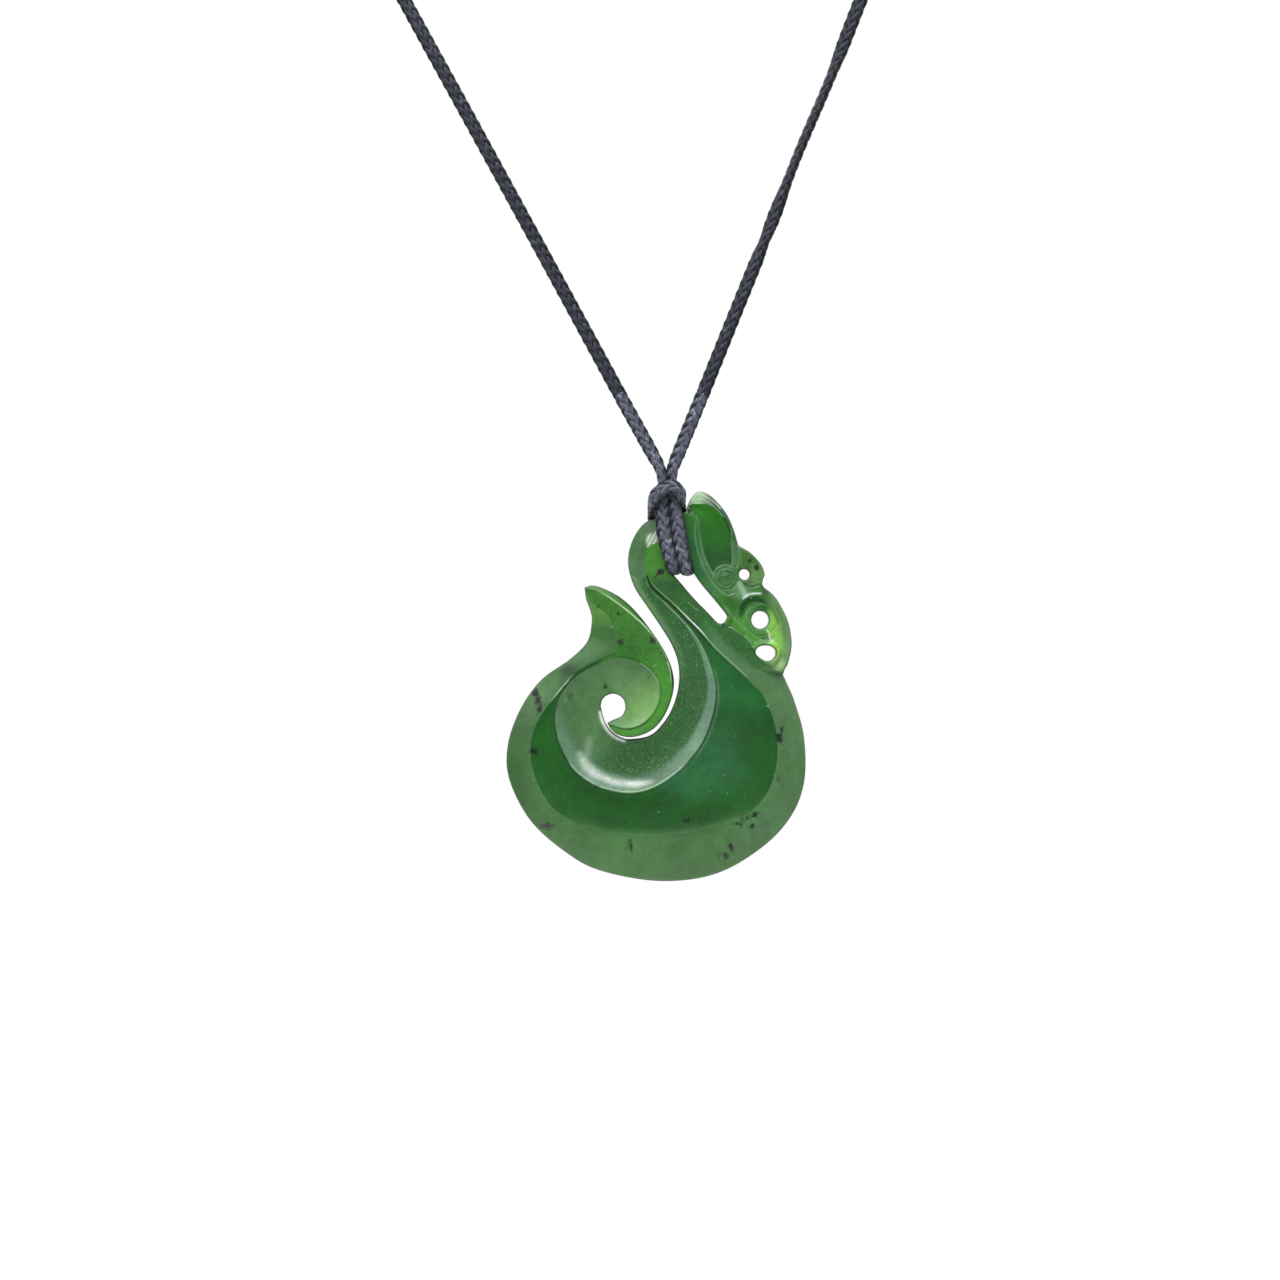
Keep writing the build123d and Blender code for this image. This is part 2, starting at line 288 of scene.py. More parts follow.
def cordMaterial(name, dark, light, fleck):
    # Waxed dark thread: fine fibres along each strand, pale flecks, and painted shade darkening it towards
    # the braid's two flanks
    material, tree, shader = newMaterial(name)
    uv = addNode(tree, "ShaderNodeUVMap", uv_map="along").outputs[0]
    place = addNode(tree, "ShaderNodeTexCoord").outputs["Object"]
    stretch = addNode(tree, "ShaderNodeMapping", Scale=(1.6, 26.0, 1.0))
    tree.links.new(uv, stretch.inputs[0])
    fibres = noise(tree, stretch.outputs[0], 1.0, 3.0, 0.6)
    patches = noise(tree, place, 900.0, 2.0)
    colour = mixColour(tree, ramp(tree, fibres, 0.34, 0.62), dark, light)
    flecks = ramp(tree, doMath(tree, "MULTIPLY", fibres, patches), 0.30, 0.42)
    colour = mixColour(tree, flecks, colour, fleck)
    # Painted shade: strands near the braid's two flanks are darkened almost to black
    flankShade = addNode(tree, "ShaderNodeAttribute", attribute_name="flankShade").outputs["Fac"]
    colour = mixColour(tree, ramp(tree, flankShade, 0.62, 0.93, 0.0, 0.90), colour, (0.003, 0.0035, 0.006))
    tree.links.new(colour, shader.inputs["Base Color"])
    shader.inputs["Roughness"].default_value = 0.55
    shader.inputs["Specular IOR Level"].default_value = 0.30
    shader.inputs["Sheen Weight"].default_value = 0.06
    shader.inputs["Sheen Roughness"].default_value = 0.4
    bump = addNode(tree, "ShaderNodeBump", Strength=0.5, Distance=0.00006)
    tree.links.new(fibres, bump.inputs["Height"])
    tree.links.new(bump.outputs[0], shader.inputs["Normal"])
    return material


# Scene-linear colours of the thread: in its gaps, on its strands and on its pale flecks. The hitch is the
# same cord, given a lighter copy of these colours as painted light
thread = {
    "cords": [(0.008, 0.010, 0.017), (0.040, 0.047, 0.066), (0.105, 0.118, 0.150)],
    "hitch": [(0.015, 0.018, 0.038), (0.162, 0.180, 0.238), (0.390, 0.420, 0.510)],
}
braidMaterial = cordMaterial("waxedBraid", *thread["cords"])
litHitchMaterial = cordMaterial("waxedBraidLitHitch", *thread["hitch"])


def turned(angleOf):
    # The braid's wide way lies in the picture plane, rolled about the cord by an angle that changes along it
    def wideway(along, way, line):
        flat = unit(np.cross(way, np.array([0.0, 1.0, 0.0])))
        deep = np.cross(flat, way)
        angle = angleOf(along / mm)[:, None]
        return np.cos(angle) * flat + np.sin(angle) * deep
    return wideway


def bell(along, middle, spread):
    return np.exp(-((along - middle) / spread) ** 2)


def leftRoll(along):
    return 0.25 * np.sin(along / 17.0) + 0.9 * bell(along, 150, 14)


def rightRoll(along):
    # Seen nearly on edge from 30 to 52 mm above the hitch, and briefly at 23 mm
    edgeOn = 1 / (1 + np.exp(-(along - 30.0) / 1.2)) - 1 / (1 + np.exp(-(along - 52.5) / 1.2))
    return 1.25 * edgeOn + 0.85 * bell(along, 23.6, 2.4) + 0.15 * np.sin(along / 9.0)


def makeCords():
    made = []
    for side, roll in (("left", leftRoll), ("right", rightRoll)):
        line = smoothLine(cord[side + "Route"])
        if side == "right":
            # A small kink above the hitch: a sine of the height that fades like a bell
            up = line[:, 2] / mm - cord["kinkHeight"]
            line[:, 0] += cord["kink"] * mm * np.sin(up / cord["kinkWave"]) * bell(up, 0, cord["kinkReach"])
        piece, path, length = braid(side + "Braid", line, turned(roll), braidMaterial)
        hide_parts(side + "_cord")
        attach(piece, "root")
        made.append((piece, path, length))
    return made


cords = makeCords()
print("cords", [round(length, 4) for _, _, length in cords])

# The hitch: one run of cord from the left strand round the stone's neck to the right strand
# Places across and up are in photo pixels, as the hitch shows there; depths and the two heights are in mm
hitch = {
    "downDepths": (-3.0, -2.95, -2.95, -2.75, -2.75, -3.0, -3.0, -3.0),
    "slotDepths": (-2.3, 0.0, 2.3),
    "backDepth": 3.0,
    "overDepths": (1.4, -1.2, -3.5),
    "bandDepths": (-4.4, -4.5, -4.4),
    "bandFoot": -153.5,
    "slotTop": -158.0,
    "neckMiddle": (668.0, 500.0),
    "leftDown": [
        (653, 455), (660.4, 468), (663.4, 481), (663.4, 495), (662.8, 510), (663.4, 527), (666.4, 545),
        (671.4, 561),
    ],
    "rightDown": [
        (677.9, 455), (672, 469), (671.4, 481), (673, 495), (675.2, 510), (678, 526), (680.6, 545),
        (683.8, 561),
    ],
    "slot": [(674.6, 570.5), (687.4, 571.2)],
    "leftBack": [(672, 556), (664, 538), (657, 523)],
    "rightBack": [(686, 556), (682, 536), (682.4, 517)],
    "leftOver": [(653.6, 515), (651.2, 507.4), (653.2, 499.6)],
    "rightOver": [(681.6, 510), (682, 503), (681, 496)],
    "bandMiddle": [(659.6, 491.6), (667.6, 486.8), (676, 488)],
}


def placed(spots, depth):
    # Photo pixels to millimetres at the given depths, one or one for each spot
    return np.insert(px(spots), 1, depth, axis=1)


def hitchRoute():
    # Down the front under the band, through the slot, up the back, over the neck into the band, and so back
    run = {}
    for side, turn in zip(("left", "right"), hitch["slot"]):
        run[side] = np.concatenate([
            cord[side + "Route"][:1],
            placed(hitch[side + "Down"], hitch["downDepths"]),
            placed([turn] * 3, hitch["slotDepths"]),
            placed(hitch[side + "Back"], hitch["backDepth"]),
            placed(hitch[side + "Over"], hitch["overDepths"]),
        ])
    middle = placed(hitch["bandMiddle"], hitch["bandDepths"])
    return np.concatenate([run["left"], middle, run["right"][::-1]])


def hitchWay(along, way, line):
    # The braid's flat side looks away from the stone: forwards or back, sideways where the band goes
    # round the neck, and down inside the slot
    x, y, z = (line / mm).T
    band = z > hitch["bandFoot"]
    sideways = 1.2 * np.sign(x - px(hitch["neckMiddle"])[0]) * bell(y, -0.9, 1.8) * band
    upwards = 0.25 * band - 0.8 * bell(y, 0.0, 1.8) * (z < hitch["slotTop"])
    return np.cross(way, np.stack([sideways, np.tanh(y / 1.2), upwards], 1))


def hitchSqueeze(along):
    # Narrower where the band grips the two front strands, a little wider where they lie free
    fromMiddle = np.abs(along - along[-1] / 2) / mm
    fromEnd = np.minimum(along, along[-1] - along) / mm
    gripped = 0.28 * bell(fromEnd, 13.4, 2.6)
    return 1.0 - gripped + 0.20 * bell(fromEnd, 20.5, 3.4) + 0.10 * bell(fromMiddle, 0, 2.5)


hitchLine = smoothLine(hitchRoute())
hitchPiece, _, hitchLength = braid("larksHeadHitch", hitchLine, hitchWay, litHitchMaterial, hitchSqueeze)
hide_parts("cord_hitch")
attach(hitchPiece, "root")
print("hitch", round(hitchLength, 4))

# The nape knot: the cord's end wound round both cords in close turns
knot = {"turns": 4.0, "length": 8.0, "radius": 1.55}


def knotLine():
    # A helix about the X axis: even turns, its radius shrinking to the axis at both ends like a sine
    share = np.linspace(0, 1, 400)
    angle = 2 * math.pi * knot["turns"] * share
    radius = knot["radius"] * np.minimum(1, np.sin(math.pi * share) * 6) ** 0.5
    reach = knot["length"] / 2 - cord["width"] / 2
    x = reach * (2 * share - 1)
    return np.stack([x, radius * np.cos(angle), radius * np.sin(angle)], 1) * mm


def alongAxis(along, way, line):
    # The braid lies flat on the cords inside the knot
    outward = line * np.array([0.0, 1.0, 1.0])
    return np.cross(way, outward + np.array([0.0, 1e-6, 0.0]))


knotPiece, _, knotCord = braid("napeKnot", knotLine(), alongAxis, braidMaterial)
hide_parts("nape_knot")
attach(knotPiece, "root")
print("knot", round(knotCord, 4))

# The stone
# Every line of the carving, in photo pixels, from the top of each stretch onwards
lines = {
    "body": [
        (584.4, 587.2), (585.9, 598.9), (590.5, 612), (591.6, 622), (587.1, 641.5), (570.1, 659),
        (541, 680), (520.1, 709.2), (507.5, 745), (509, 780), (530, 821), (564.1, 852), (600, 871.4),
        (660, 882), (715, 875), (760, 850), (790.1, 819), (804.5, 783), (804.5, 738), (795, 702),
        (786.4, 681.6), (783.2, 674.6),
    ],
    "arm": [
        (783.2, 674.6), (784.8, 669.4), (788.2, 662.6), (791.6, 647), (790.8, 633), (787.6, 619.6),
        (781.8, 607.4), (776.4, 598.4), (770, 591.6), (764.6, 587.6), (762.4, 583.8),
    ],
    "bump": [(762.4, 583.8), (763.2, 579), (764.8, 573.6), (760.8, 563.6), (750.4, 552.4), (738.6, 545.3)],
    "head": [
        (738.6, 545.3), (733, 527), (725, 511), (711, 495.7), (699.1, 491), (691, 498), (686, 509),
        (680, 519.2),
    ],
    "neck": [
        (680, 519.2), (660, 517.6), (644, 523.1), (632, 541), (628, 563), (634.1, 586), (648, 607.5),
        (660, 625.1), (672, 645), (678.5, 663.8), (679.1, 684.2), (674, 705), (664.1, 723), (650, 736.2),
        (630, 739.9), (620.6, 738), (613.4, 733.8), (607.6, 727.4), (603.6, 719.4), (600.4, 706.8),
    ],
    "koruHole": [
        (600.4, 706.8), (601.9, 700.4), (606.5, 695.8), (613, 693.9), (619.5, 695.8), (624.2, 701),
        (625.5, 709.2),
    ],
    "tongueTop": [(625.5, 709.2), (621.6, 716.6), (613, 720.5), (607.5, 723.3)],
    "tongue": [
        (607.5, 723.3), (611.1, 729.5), (618, 735), (630, 737.3), (643, 734.6), (655.1, 727.6),
        (665, 714.7), (672, 697), (674, 681), (670.1, 663.4), (660, 643.5), (640, 616.1), (622, 598.5),
        (604, 588.4), (592, 585.2), (584.4, 587.2),
    ],
    "slotLeft": [
        (668, 561.4), (666.8, 566.6), (670.2, 571.8), (675.2, 576.5), (681.4, 583.4), (688.6, 592.1),
        (697.5, 602), (706.4, 611), (715.6, 620.8),
    ],
    "slotFoot": [(715.6, 620.8), (718, 622.9), (721, 623.6), (724.4, 622.4), (726.3, 619.6)],
    "slotRight": [
        (726.3, 619.6), (726.8, 614.9), (716, 601), (702.1, 584.4), (695, 574.6), (691.4, 567.6),
        (689.4, 561),
    ],
    "slotHead": [(689.4, 561), (686, 556.8), (680.4, 555.2), (673.8, 556.6), (668, 561.4)],
    "wristHole": [
        (755.6, 652.6), (758.4, 647.2), (764.5, 645.6), (771.5, 646.4), (775.6, 650), (775.6, 656.2),
        (771, 660.6), (765.5, 660.8), (759.6, 657.6),
    ],
    "ridge": [
        (666, 539), (657, 542.4), (650, 545.2), (646.2, 550), (644.4, 557), (644.4, 565), (646.6, 574),
        (653.2, 585.4), (664.6, 595.9), (676.1, 606.2), (689, 619), (701.6, 631.6), (709.6, 641.6),
        (719.5, 651.8), (731, 662.2), (747.5, 677.2), (760.4, 691.3), (769.2, 708), (775.2, 726),
        (777.6, 745), (776.6, 764), (772, 783), (763, 799), (745, 815.5), (715, 827.5), (679, 834),
        (644, 836.4), (606.6, 833.4), (578.6, 824), (556, 811), (542, 793), (533, 771), (530.2, 750),
        (533.6, 731), (540, 717), (548.2, 705.4), (556, 695), (565.5, 683.5), (576, 672.5), (590, 664.4),
        (603, 657.4), (616, 652),
    ],
    "finRidge": [
        (616, 652), (617.6, 644), (616.4, 634.7), (613.2, 626.4), (609, 617.4), (603.2, 611.4),
        (595, 605.6), (590, 600.4), (586.4, 593), (584.4, 587.2),
    ],
    "crest": [
        (645.4, 574.5), (650.5, 588), (664.6, 602.1), (677.4, 614.8), (689, 627.6), (699.1, 641.6),
        (706.7, 657), (711.8, 671), (715, 685), (715.5, 697.7), (713.7, 710.5), (709.5, 725), (702, 742.8),
        (690, 759), (677, 771.4), (661.4, 782.6), (646, 789.6), (630.5, 792.2), (615, 790.6),
        (598.6, 785.9), (584.4, 777.5), (573.4, 767.7), (566.2, 757.6), (560, 745), (556.2, 731),
        (555, 717), (557, 704), (562, 692.5), (570, 681.8), (580, 673.6), (591, 667.2), (603.5, 661.4),
        (616, 658.2), (628, 658.8), (638, 662), (646.4, 667.2), (653.2, 674.2), (657.6, 681.6),
        (659.6, 690), (659.2, 698.6), (656, 708), (649, 717.8), (639, 725.2), (626.4, 728.4),
        (615.2, 726.2), (607.5, 723.3),
    ],
    "finBevel": [
        (584.4, 587.2), (588.6, 587.8), (597.4, 590.7), (606.5, 595.6), (616.4, 602.2), (626.4, 609.8),
        (636.3, 618.2), (644.6, 625.8), (653, 635), (661.2, 646.8), (667, 658.6), (670.4, 672),
        (671.2, 684),
    ],
    "underArm": [
        (721, 623.6), (733, 628.6), (742.4, 634.6), (750, 642), (754.6, 651.4), (759.4, 659.4),
        (767.4, 664.6), (776, 669.6), (783.2, 674.2),
    ],
}

stone = {
    "halfBody": 3.0,
    "halfNeck": 2.2,
    "taper": (0.50, 0.78),
    "rim": 1.6,
    "neckRim": 1.35,
    "tailRise": 1.05,
    "tailMiddle": (566.0, 668.0),
    "tailReach": 3.2,
    "edgeRound": 0.34,
    "edgeRows": (0.03, 0.09, 0.18, 0.29),
    "bandCurve": 1.7,
    "dip": 0.055,
    "dipMost": 0.32,
    "ridgeStep": 0.20,
    "crestGroove": 0.12,
    "lobeDepths": (0.55, 0.8, 1.0, 1.15, 1.2, 1.1, 0.7, 0.42, 0.5, 0.65, 0.6),
    "lobeReaches": (0.9, 1.3, 1.6, 1.8, 1.7, 1.5, 1.2, 0.9, 0.9, 0.9, 0.8),
    "ribbonDrop": 0.30,
    "finDrop": 0.50,
    "finFallFrom": (616.5, 650.0),
    "finFallWay": (0.882, 0.471),
    "finBevelDrop": 0.55,
    "leafDepth": 0.40,
    "armDepth": 0.45,
    "bumpHole": (744.6, 574.2, 5.5),
    "armHole": (760.4, 619.8, 8.9),
    "edgeSpacing": 0.135,
    "fineCorner": (676.0, 676.0),
    "finePitch": 0.122,
    "coarsePitch": 0.215,
    "backPitch": 0.42,
}


def evenCurve(points, step):
    # Catmull-Rom through the points: each span is a cubic whose slope at a point is half the chord past it
    p = np.asarray(points, float)
    closed = np.allclose(p[0], p[-1])
    before = p[-2] if closed else 2 * p[0] - p[1]
    after = p[1] if closed else 2 * p[-1] - p[-2]
    q = np.concatenate([[before], p, [after]])
    t = np.linspace(0, 1, 24, endpoint=False)[None, :, None]
    p0, p1, p2, p3 = q[:-3, None], q[1:-2, None], q[2:-1, None], q[3:, None]
    spans = 0.5 * (2 * p1 + (p2 - p0) * t + (2 * p0 - 5 * p1 + 4 * p2 - p3) * t ** 2
                   + (3 * p1 - p0 - 3 * p2 + p3) * t ** 3)
    dense = np.concatenate([spans.reshape(-1, 2), p[-1:]])
    run = np.r_[0, np.cumsum(np.linalg.norm(np.diff(dense, axis=0), axis=1))]
    along = np.linspace(0, run[-1], max(int(round(run[-1] / step)), 2) + 1)
    return np.stack([np.interp(along, run, dense[:, k]) for k in range(2)], 1)


def stoneLine(name, step=0.5):
    # A named line in millimetres of the frame, evenly spaced
    return evenCurve(px(lines[name]), step)


def closedCurve(points, step):
    # The same round a closed run of photo pixels, its first point again at the end
    return evenCurve(px(points + points[:1]), step)


def circleLine(place, step):
    # Evenly spaced points of a circle: middle and radius in photo px, step in mm
    x, y, radius = place
    size = radius * pixel / mm
    count = max(int(2 * math.pi * size / step), 24)
    angle = np.arange(count) * 2 * math.pi / count
    return px([x, y]) + size * np.stack([np.cos(angle), np.sin(angle)], 1)


def cellsOf(points, size=3.0):
    # Row numbers of the points in each square cell of the plane
    cell = np.floor(points / size)
    group = np.unique(cell[:, 0] * 1000 + cell[:, 1], return_inverse=True)[1]
    order = np.argsort(group, kind="stable")
    return np.split(order, np.cumsum(np.bincount(group))[:-1])


def distanceTo(points, line, closed=False):
    # Shortest distance from each point to the line's runs; each cell of points looks only at the near runs
    start = line if closed else line[:-1]
    run = (np.roll(line, -1, axis=0) if closed else line[1:]) - start
    square = np.maximum((run ** 2).sum(1), 1e-12)
    longest = math.sqrt(square.max())
    nearest = np.empty(len(points))
    if len(points) == 0:
        return nearest
    for rows in cellsOf(points):
        here = points[rows]
        low, high = here.min(0), here.max(0)
        away = np.linalg.norm(start - (low + high) / 2, axis=1)
        near = away <= away.min() + np.linalg.norm(high - low) + longest
        gap = here[:, None, :] - start[near]
        share = np.clip((gap * run[near]).sum(2) / square[near], 0, 1)
        gap -= share[..., None] * run[near]
        nearest[rows] = np.sqrt((gap ** 2).sum(2).min(1))
    return nearest


def toLine(points, *names):
    # Shortest distance from each point to any of the named lines
    return np.min([distanceTo(points, stoneLine(name)) for name in names], axis=0)


def inside(points, loop):
    # Even-odd rule: a ray to the right crosses the loop an odd number of times, tested strip by strip
    loop = np.asarray(loop)
    x1, z1 = loop.T
    x2, z2 = np.roll(loop, -1, axis=0).T
    lower, upper = np.minimum(z1, z2), np.maximum(z1, z2)
    rise = np.where(z2 == z1, 1e-12, z2 - z1)
    result = np.zeros(len(points), bool)
    strip = np.floor(points[:, 1])
    for level in np.unique(strip):
        rows = np.flatnonzero(strip == level)
        near = (lower <= level + 1) & (upper >= level)
        x, z = points[rows, 0:1], points[rows, 1:2]
        reach = x1[near] + (x2[near] - x1[near]) * (z - z1[near]) / rise[near]
        crosses = ((z1[near] > z) != (z2[near] > z)) & (x < reach)
        result[rows] = crosses.sum(1) % 2 == 1
    return result


def ease(value, low, high):
    # Smooth step from 0 at low to 1 at high
    t = np.clip((value - low) / (high - low), 0, 1)
    return t * t * (3 - 2 * t)


def spread(points, line, values, power=2):
    # A value given along a line, blended over the surface by inverse distance
    values = np.interp(np.linspace(0, 1, len(line)), np.linspace(0, 1, len(values)), values)
    total = np.empty(len(points))
    block = 4000000 // len(line)
    for low in range(0, len(points), block):
        square = ((points[low:low + block, None, :] - line) ** 2).sum(2) + 0.25
        weight = square ** -power
        total[low:low + block] = (weight * values).sum(1) / weight.sum(1)
    return total


# Lines cut by the small wheel, and painted highlight and shade lines: path, half width and depth in mm, the
# tone laid along it, its strength. The pale and gleam strokes are painted highlights; the deep, hollow and
# dark ones are painted shade in their grooves and creases
strokes = {
    "neckCut": ([(630.7, 575.6), (636, 578.4), (641.6, 581.6)], 0.10, 0.06, "line", 0.5),
    "ribbonLine": ([(688.5, 602), (692.6, 606), (697.7, 609.4)], 0.08, 0.05, "line", 0.8),
    "cheekOuter": ([
        (696.4, 515), (695.4, 526), (695.6, 538), (698.4, 553), (702.6, 564.6), (708, 574.4),
        (713.6, 583.6), (719.6, 590), (727.6, 594.6), (733.6, 592.6),
    ], 0.10, 0.08, "line", 0.75),
    "cheekInner": ([
        (697.8, 517), (699, 530), (701.4, 545), (705, 557), (709.4, 567), (712.6, 573),
    ], 0.10, 0.08, "line", 0.75),
    "leafEdge": ([(731, 527.6), (732, 540), (732.4, 552), (732.6, 562)], 0.08, 0.06, "line", 0.7),
    "leafSide": ([(739, 546.4), (739.2, 556), (738.4, 563), (736.4, 567)], 0.09, 0.07, "line", 0.7),
    "rimLine": ([(699.4, 493.6), (706.6, 496.8), (714.6, 502.2), (720.6, 508.4)], 0.08, 0.0, "pale", 0.70),
    "rimTail": ([(720.6, 508.4), (726, 516.4), (730.6, 526), (733.6, 536)], 0.07, 0.0, "line", 0.4),
    "rimInner": ([(694.6, 499.4), (700, 498.6), (706.6, 500.6), (712, 504.6)], 0.17, 0.0, "pale", 0.45),
    "rimThin": ([(712, 504.6), (718, 509.8), (723, 516)], 0.08, 0.0, "gleam", 0.5),
    "bumpFoot": ([(741, 580.4), (745.6, 585), (752, 587), (759.6, 584.6)], 0.13, 0.12, "deep", 0.5),
    "bumpCrease": ([(748, 581.6), (754, 583), (760.6, 579)], 0.09, 0.04, "deep", 0.25),
    "bumpCurl": ([(741.6, 551.6), (740.8, 558), (741.8, 564), (744, 566.6)], 0.09, 0.07, "line", 0.4),
    "armWedge": ([(739.6, 583.6), (741.6, 588), (744, 592.6), (745, 595)], 0.34, 0.0, "gleam", 0.6),
    "armCrown": ([(743, 598.4), (748, 594.6), (754.6, 593.4), (760.8, 593.4)], 0.11, 0.0, "pale", 0.7),
    "armTail": ([
        (762.5, 598.5), (767.6, 604.2), (772.7, 610.6), (776.5, 617.7), (778.4, 624.7),
    ], 0.12, 0.05, "hollow", 0.55),
    "armNotch": ([(763, 587), (765, 590), (766.6, 594)], 0.30, 0.0, "dark", 0.5),
    "armLineUpper": ([
        (725.6, 607.6), (731.4, 614), (739.8, 622.6), (747.6, 630), (756, 636.4), (764.6, 641),
    ], 0.09, 0.08, "line", 0.8),
    "armLineLower": ([
        (726, 624), (734, 627.8), (742.4, 634), (749.4, 641), (756, 649.6),
    ], 0.09, 0.08, "line", 0.7),
    "armGlint": ([
        (767.4, 630.6), (769.6, 633.6), (769.4, 636.8), (771.6, 640.4), (774.4, 639.8),
    ], 0.11, 0.0, "pale", 0.65),
    "gapGlint": ([
        (600.6, 713), (603.4, 722), (608, 730), (615, 736.4), (624, 740.4),
    ], 0.26, 0.0, "pale", 0.85),
    "tongueLine": ([(612, 725.8), (624, 729.4), (636, 728.6), (646.6, 723)], 0.14, 0.06, "deep", 0.4),
}
# Dark arc round the arm's ring, filled with painted shade, and the rings round the eye and arm: centre,
# radius and waver in px, half width and depth in mm, strength
armArc = [
    (738.4, 618), (738.8, 611), (740.4, 605), (744.6, 599.4), (749.8, 596.4), (756.6, 595.4),
    (762.4, 598.4), (767.4, 604), (762.4, 602.9), (756.6, 601.6), (751.6, 602.4), (747.2, 606.2),
    (744.2, 611.8), (743.4, 618.2),
]
rings = {
    "eyeOuter": (725.7, 577.0, 12.9, 0.25, 0.09, 0.045, 0.26),
    "eyeMiddle": (725.7, 577.0, 9.0, 0.55, 0.08, 0.035, 0.22),
    "eyeInner": (725.7, 577.0, 5.4, 0.80, 0.09, 0.045, 0.30),
    "armRing": (760.4, 619.8, 16.2, 0.0, 0.09, 0.04, 0.22),
}
pupilCurl = [(727.6, 572.6), (724, 574.6), (723.6, 578.6), (726.6, 580.4)]


def outlineLoops():
    # The outer edge and the holes, each with the stone on its left hand
    step = stone["edgeSpacing"]

    def joined(names):
        return np.concatenate([stoneLine(name, step)[:-1] for name in names])

    made = [joined(["body", "arm", "bump", "head", "neck", "koruHole", "tongueTop", "tongue"]),
            joined(["slotLeft", "slotFoot", "slotRight", "slotHead"]),
            closedCurve(lines["wristHole"], step)[:-1],
            circleLine(stone["bumpHole"], step), circleLine(stone["armHole"], step)]
    for index, loop in enumerate(made):
        x, z = loop.T
        area = (x * np.roll(z, -1) - np.roll(x, -1) * z).sum() / 2
        if (area > 0) != (index == 0):
            made[index] = loop[::-1]
    return made


loops = outlineLoops()


def loopDistance(points):
    # To the nearest edge of the outline or a hole: roughly from every sixth point, then exactly where near
    rough = np.min([distanceTo(points, loop[::6], True) for loop in loops], axis=0)
    near = rough < 0.8
    exact = rough.copy()
    exact[near] = np.min([distanceTo(points[near], loop, True) for loop in loops], axis=0)
    return exact


# The middle of the gap between lobe and body
gapMiddle = [
    (607, 724.5), (610.4, 730), (618, 736.2), (630, 738.7), (647, 735.4), (660, 725), (669, 710),
    (675.6, 692), (676.4, 672), (667, 645), (650, 617), (630, 592),
]


def regions(points):
    # Masks of the carving's fields, each the inside of a loop made of its named lines
    def within(*runs):
        return inside(points, np.concatenate(runs))

    ridge, finRidge, crest = (stoneLine(name, 0.2) for name in ("ridge", "finRidge", "crest"))
    gap = px(gapMiddle)
    neckWay = px([(622, 580), (631, 576), (641.6, 581)])
    low = ridge[:, 1] < px([0, 574])[1]
    scoop = within(crest, gap, neckWay)
    field = within(ridge[low], finRidge, px([(583, 583), (600, 576)]), neckWay)
    top = crest[np.argmin(((crest - px([616, 658.2])) ** 2).sum(1)):]
    fin = within(finRidge[::-1], top, gap, px([(600, 572), (580, 580)])) & ~scoop
    neckSide = within(ridge[~low], px([(641.6, 581), (631, 576), (618, 560), (622, 510), (664, 505)]))
    koru = within(gap, px([(600, 570), (560, 570), (540, 690), (540, 724.5)]))
    head = within(stoneLine("underArm")[::-1], px([
        (708, 612), (690, 590), (681, 560), (681, 500), (700, 470), (820, 470), (820, 672.8),
    ]))
    upper = ridge[ridge[:, 1] > px([0, 690])[1]]
    strip = within(upper, px([(783.6, 672.8), (730, 615), (690, 500), (664, 500)]))
    ribbon = strip & ~field & ~neckSide & ~head & (points[:, 0] > px([640, 0])[0])
    return {
        "scoop": scoop,
        "fin": fin,
        "crescent": field & ~scoop & ~fin,
        "neckSide": neckSide,
        "head": head,
        "ribbon": ribbon,
        "band": ~field & ~head & ~ribbon,
        "koru": koru,
    }


def faceLevel(points):
    # Half the stone's thickness, less from the body up to the neck
    up = (points[:, 1] - stoneLow[2] / mm) / ((stoneHigh[2] - stoneLow[2]) / mm)
    return stone["halfBody"] + (stone["halfNeck"] - stone["halfBody"]) * ease(up, *stone["taper"])


def bandSlope(points, face, toRidge, rim):
    # From the ridge down to the rim: one minus a power of the share of the way, so steeper towards the edge
    toBody = toLine(points, "body", "neck")
    share = toBody / np.maximum(toBody + toRidge, 1e-6)
    return rim + (face - rim) * (1 - (1 - share) ** stone["bandCurve"])


def edgeFall(toEdge):
    # Rounded edge: a quarter circle in from every edge
    inward = np.clip(1 - toEdge / stone["edgeRound"], 0, 1)
    return stone["edgeRound"] * (1 - np.sqrt(1 - inward ** 2))


